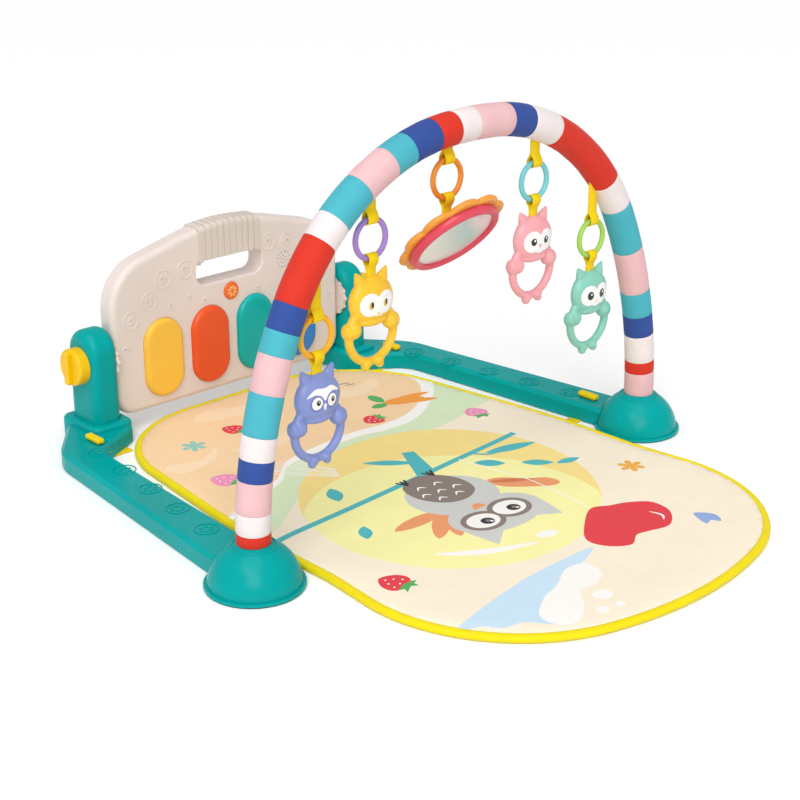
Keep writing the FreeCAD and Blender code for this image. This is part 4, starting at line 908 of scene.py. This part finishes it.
def perched_owl():
    """Owl on a branch, its head towards the mat's front."""
    shapes = [("branch", stroke([(-226, -20), (-120, -14), (0, -5), (110, 4), (150, 8)], 8)),
              ("branch", [(-14, -6), (12, -4), (31, 47), (18, 53)]),
              leaf(-32, 62, 12, 22, 13), leaf(84, -10, 148, -26, 16),
              ("branch", stroke([(72, 2), (84, -14), (104, -18)], 4, 4)),
              leaf(56, -20, 80, -44, 17), leaf(94, -54, 120, -78, 15),
              leaf(120, -82, 150, -88, 12), leaf(-100, 36, -114, 6, 17),
              leaf(-136, -54, -152, -78, 14)]
    shapes += [("orange", blob([(30, -62), (34, -84), (54, -104), (74, -118), (86, -116),
                                (84, -100), (66, -86), (48, -66)])),
               leaf(30, -64, 72, -94, 9, "umber"),
               leaf(-50, -80, -102, -126, 19, "orange", 0.6),
               leaf(-52, -82, -122, -84, 19, "orange", 0.6),
               leaf(-50, -84, -82, -136, 19, "orange", 0.6),
               ("grey", ellipse(-19, -62, 51, 47)), ("grey", ellipse(-18, -122, 57, 37)),
               ("grey", [(40, -122), (36, -146), (30, -170), (4, -152), (-10, -140)]),
               ("grey", [(-74, -118), (-72, -146), (-68, -174), (-40, -154), (-20, -140)]),
               ("brown", blob([(-19, -4), (-46, -16), (-52, -44), (-38, -70), (-14, -78),
                               (10, -66), (16, -38), (4, -14)]))]
    for x, y in ((-32, -60), (-10, -62), (-40, -44), (-20, -46), (0, -48), (-32, -28),
                 (-10, -30)):
        shapes.append(("paper", stroke([(x - 6, y - 3), (x, y + 2.5), (x + 6, y - 3)], 2.6, 5,
                                       True)))
    for x, y in ((2, -10), (-36, -10)):
        for lean in (-6, 0, 6):
            shapes.append(("dark", stroke([(x, y - 4), (x + lean, y + 9)], 3, 2)))
    eyes = [(1, -123), (-41, -127)]
    shapes += [("brown", ellipse(x, y, 25, 21)) for x, y in eyes]
    for x, y in eyes:
        shapes += [("paper", ellipse(x, y, 19, 15)), ("dark", ellipse(x + 3, y - 3, 7.5, 7)),
                   ("brown", ellipse(x + 4, y - 3, 3, 3)), ("paper", ellipse(x + 6, y - 6, 1.8, 1.8))]
    shapes.append(("orange", [(-29, -104), (-11, -103), (-15, -93), (-24, -94)]))
    shapes += [("paper", stroke([(-128, -146), (-104, -166), (-76, -182), (-38, -196)], 11, 6,
                                True)),
               ("paper", ellipse(-17, -190, 12, 7, -15))]
    return shapes


def scattered():
    """Hearts, fruit, flowers and the cloud."""
    shapes = [("paper", stroke([(51, -2), (58, -44), (66, -84), (64, -134), (57, -184)], 1.6)),
              ("red", blob([(57, -182), (78, -190), (98, -198), (116, -214), (112, -240),
                            (86, -260), (58, -254), (44, -252), (24, -262), (4, -248),
                            (0, -226), (22, -204)])),
              ("paper", stroke([(96, -226), (99, -240), (92, -248)], 3, 4, True)),
              ("blue", blob([(126, -260), (118, -270), (114, -284), (124, -282), (130, -290),
                             (138, -276)])),
              blossom(173, -141, 15, "flower"), blossom(-134, 225, 15, "moss"),
              ("sky", blob([(-8, -240), (-84, -238), (-135, -244), (-188, -254), (-222, -262),
                            (-196, -272), (-184, -288), (-164, -294), (-146, -314),
                            (-138, -296), (-116, -278), (-64, -262)])),
              ("paper", blob([(-92, -268), (-60, -252), (-38, -258), (-42, -280), (-62, -290),
                              (-84, -290), (-100, -308), (-124, -324), (-144, -318),
                              (-146, -296), (-118, -276)])),
              ("paper", ellipse(-74, -308, 10, 9)), ("paper", ellipse(-96, -326, 7, 6)),
              ("paper", ellipse(-76, -330, 5, 4.5)),
              leaf(156, 158, 104, 176, 22, "carrot", 0.6), leaf(166, 144, 120, 168, 13, "carrot"),
              leaf(172, 166, 120, 176, 12, "carrot"), leaf(108, 172, 86, 174, 13, "leaf", 0.6),
              leaf(108, 178, 110, 206, 15, "leaf", 0.6),
              ("brown", stroke([(108, 258), (122, 254)], 2.5, 2)),
              ("brown", stroke([(112, 250), (124, 247)], 2.5, 2))]
    shapes += strawberry(-195, -162, 17, -70) + strawberry(63, 146, 14, 10)
    shapes += strawberry(-72, 233, 14, -60) + strawberry(164, 81, 15, -100, "rose")
    shapes += strawberry(-165, 128, 17, -60, "rose")
    return shapes


def edge_gap(point, ring):
    """Distance from a point to the nearest point of a dense outline."""
    return min(math.hypot(point[0] - x, point[1] - y) for x, y in ring)


def quilt_height(x, y, gap):
    """Height of the mat's top, a gap in from its bound edge."""
    rise = (MAT_FULL - MAT_EDGE) * (1 - math.exp(-gap / 9))
    soft = 0.55 * noise.noise(Vector((x / 90, y / 90, 3))) * min(1, gap / 30)
    pucker = 0.5 * noise.noise(Vector((x / 9, y / 9, 8))) * math.exp(-gap / 10)
    return MAT_EDGE + rise + soft + pucker


def make_mat():
    """Printed, lightly filled mat with a bound edge."""
    edge = anticlockwise(spread(rounded(MAT_CORNERS), 6))
    fill = [tuple(Vector(p) - outward(edge, i) * BINDING_WIDE) for i, p in enumerate(edge)]
    names = list(INKS)
    shapes = [(names.index(name), ring)
              for name, ring in backdrop() + perched_owl() + scattered()]
    plan, triangles, indices = painted(fill, shapes, 9)
    vertices = []
    for x, y in plan:
        gap = edge_gap((x, y), fill)
        vertices.append((x, y, quilt_height(x, y, gap)))
    uses = {}
    for triangle in triangles:
        for a, b in zip(triangle, triangle[1:] + triangle[:1]):
            uses[(a, b)] = True
    rim = {a: b for a, b in uses if (b, a) not in uses}
    loop = [next(iter(rim))]
    while rim[loop[-1]] != loop[0]:
        loop.append(rim[loop[-1]])
    start = len(vertices)
    vertices += [(plan[v][0], plan[v][1], MAT_LOW) for v in loop]
    skirt = [(loop[(i + 1) % len(loop)], v, start + i, start + (i + 1) % len(loop))
             for i, v in enumerate(loop)]
    under = tuple(start + i for i in range(len(loop)))[::-1]
    prints = [woven("print_" + name, linear(*INKS[name]), 1.2, 0.7, 0.12, 0.03, 0.3, 0.12,
                    False) for name in names]
    pad = piece("printed_mat", vertices, triangles + skirt + [under], prints, "base",
                ["mat_pad"], "mat_fabric", indices + [0] * (len(skirt) + 1))

    section = [(-0.9, 6.9), (0.0, 7.5), (1.6, 7.7), (3.8, 7.3), (5.8, 6.0), (6.8, 4.0),
               (6.6, 2.0), (5.2, 0.5), (2.5, 0.3), (-0.9, 0.5)]
    vertices, uvs = [], []
    length = 0
    for i, point in enumerate(edge):
        if i:
            length += (Vector(point) - Vector(edge[i - 1])).length
        out = outward(edge, i)
        base = Vector(point) - out * BINDING_WIDE
        pull = 0.35 * noise.noise(Vector((length / 7, 0, 5)))
        for u, z in section:
            spot = base + out * (u + (pull if u > 0 else 0))
            vertices.append((spot[0], spot[1], z + (pull * 0.6 if z > 5 else 0)))
            uvs.append((u + z, length))
    faces = lattice(len(edge), len(section), close_rows=True)
    binding = piece("edge_binding", vertices, faces, [finish["binding_fabric"]], "base",
                    ["mat_binding"], "binding_fabric", uvs=uvs)


make_mat()

# ---------------------------------------------------------------- ties
TIES = [("front_right", 268, 0), ("back_left", -222, 285), ("back_right", 222, 285)]
TIE_TOP = 24


def mat_edge_at(y):
    """Half the mat's width at a Y, between its arch sockets and the piano."""
    edge = rounded(MAT_CORNERS)
    return max(abs(p[0]) for p in edge if abs(p[1] - y) < 12)


def make_ties():
    """Webbing from under the mat's edge along the floor and up through the leg's slot."""
    for name, x, y in TIES:
        side = 1 if x > 0 else -1
        slot, start = abs(x), mat_edge_at(y) - 1
        path = smooth_path([(start, 0.9), (start + 5, 0.8), (slot - 9, 0.8), (slot - 3.5, 1.6),
                            (slot, 6), (slot, 14), (slot, TIE_TOP)], 5)

        def seat(across, u, z, y=y, side=side):
            return side * u, y + across * side, z
        web, length = ribbon("tie_" + name, path, 15.6, 0.9, seat, finish["webbing_yellow"],
                             "base", "mat_straps", "webbing_yellow")


make_ties()

# ---------------------------------------------------------------- moulded relief
PANEL_FACE = 322
HINGE_HEIGHT = 92
RIDGE = 0.9
PANEL_RINGS = [(-141, 40), (-115, 57), (-95, 79), (-64, 84), (58, 93), (86, 88), (128, 62),
               (142, 38)]


def ridge_piece(name, routes, radius, material, body, slot):
    """Half-round ridges along closed routes of 3-D points, as one piece."""
    mesh = bmesh.new()
    for route in routes:
        add_tube(mesh, route, radius, columns=8)
    bmesh.ops.recalc_face_normals(mesh, faces=mesh.faces)
    vertices = [tuple(v.co) for v in mesh.verts]
    mesh.verts.index_update()
    faces = [tuple(v.index for v in face.verts) for face in mesh.faces]
    mesh.free()
    return piece(name, vertices, faces, [material], body, slot=slot)


def make_panel_relief():
    """Rings with flowers, and small stars, moulded in the panel's face."""
    routes = []

    def on_face(ring):
        routes.append([(x, PANEL_FACE + 0.25, HINGE_HEIGHT + z) for x, z in ring])
    for i, (x, z) in enumerate(PANEL_RINGS):
        on_face(ellipse(x, z, 10.2, 10.2))
        on_face(blossom(x, z, 5.6 if i % 2 else 4.6, "flower")[1])
    for x, z in ((-60, 51), (-86, 46), (-38, 42), (40, 40), (104, 44), (-150, 8), (150, 8)):
        on_face(blossom(x, z, 3.4, "flower")[1])
    ridge_piece("panel_relief", routes, RIDGE, finish["beige_plastic"], "piano",
                "beige_plastic")


def make_citrus():
    """Citrus slice on the sound button: a ridged orange rim and eight pale segments."""
    centre, radius, proud = HINGE_HEIGHT + 45.5, 10.4, 2.4
    shapes = []
    for i in range(8):
        angle = math.tau * (i + 0.5) / 8
        shapes.append([(6.6 * t * math.cos(angle + lean), 6.6 * t * math.sin(angle + lean))
                       for t, lean in ((0.25, 0), (0.9, -0.27), (1.02, 0), (0.9, 0.27))])
    vertices, faces = [], []
    for shape in shapes:
        middle = sum((Vector(p) for p in shape), Vector((0, 0))) / len(shape)
        start = len(vertices)
        vertices += [(x, PANEL_FACE - proud - 0.02, centre + z) for x, z in shape]
        vertices.append((middle[0], PANEL_FACE - proud - 0.7, centre + middle[1]))
        top = start + len(shape)
        faces += [(start + k, start + (k + 1) % len(shape), top) for k in range(len(shape))]
    piece("citrus_segments", vertices, faces,
          [moulded("citrus_pale", linear(255, 205, 120), 0.35)], "sound_button",
          slot="button_orange")
    ridge_piece("citrus_rim", [[(x, PANEL_FACE - proud, centre + z)
                                for x, z in ellipse(0, 0, radius * 0.78, radius * 0.78)]],
                0.5, finish["button_orange"], "sound_button", "button_orange")


def mesh_ring(name, points):
    """Round teal bead along a closed ring of points."""
    columns, bead = 10, 1.1
    up = Vector((0, 0, 1))
    centre = sum((Vector(p) for p in points), Vector()) / len(points)
    vertices = []
    for point in points:
        out = (Vector(point) - centre).normalized()
        for k in range(columns):
            angle = math.tau * k / columns
            vertices.append(tuple(Vector(point) + bead * (out * math.cos(angle)
                                                          + up * math.sin(angle))))
    faces = lattice(len(points), columns, close_rows=True)
    piece("dome_rim_" + name, vertices, faces, [finish["teal_plastic"]], "base",
          slot="teal_plastic")


def make_dome_rings():
    """Rounded rim on each dome where the sleeve goes in."""
    dome, reach, lift, count = 45, 21, 1, 64
    height = lift + math.sqrt(dome ** 2 - reach ** 2)
    for name, side in (("left", -1), ("right", 1)):
        points = [(side * ARCH_FOOT[0] + reach * math.cos(math.tau * i / count),
                   ARCH_LINE + reach * math.sin(math.tau * i / count), height)
                  for i in range(count)]
        mesh_ring(name, points)


make_panel_relief()
make_citrus()
make_dome_rings()
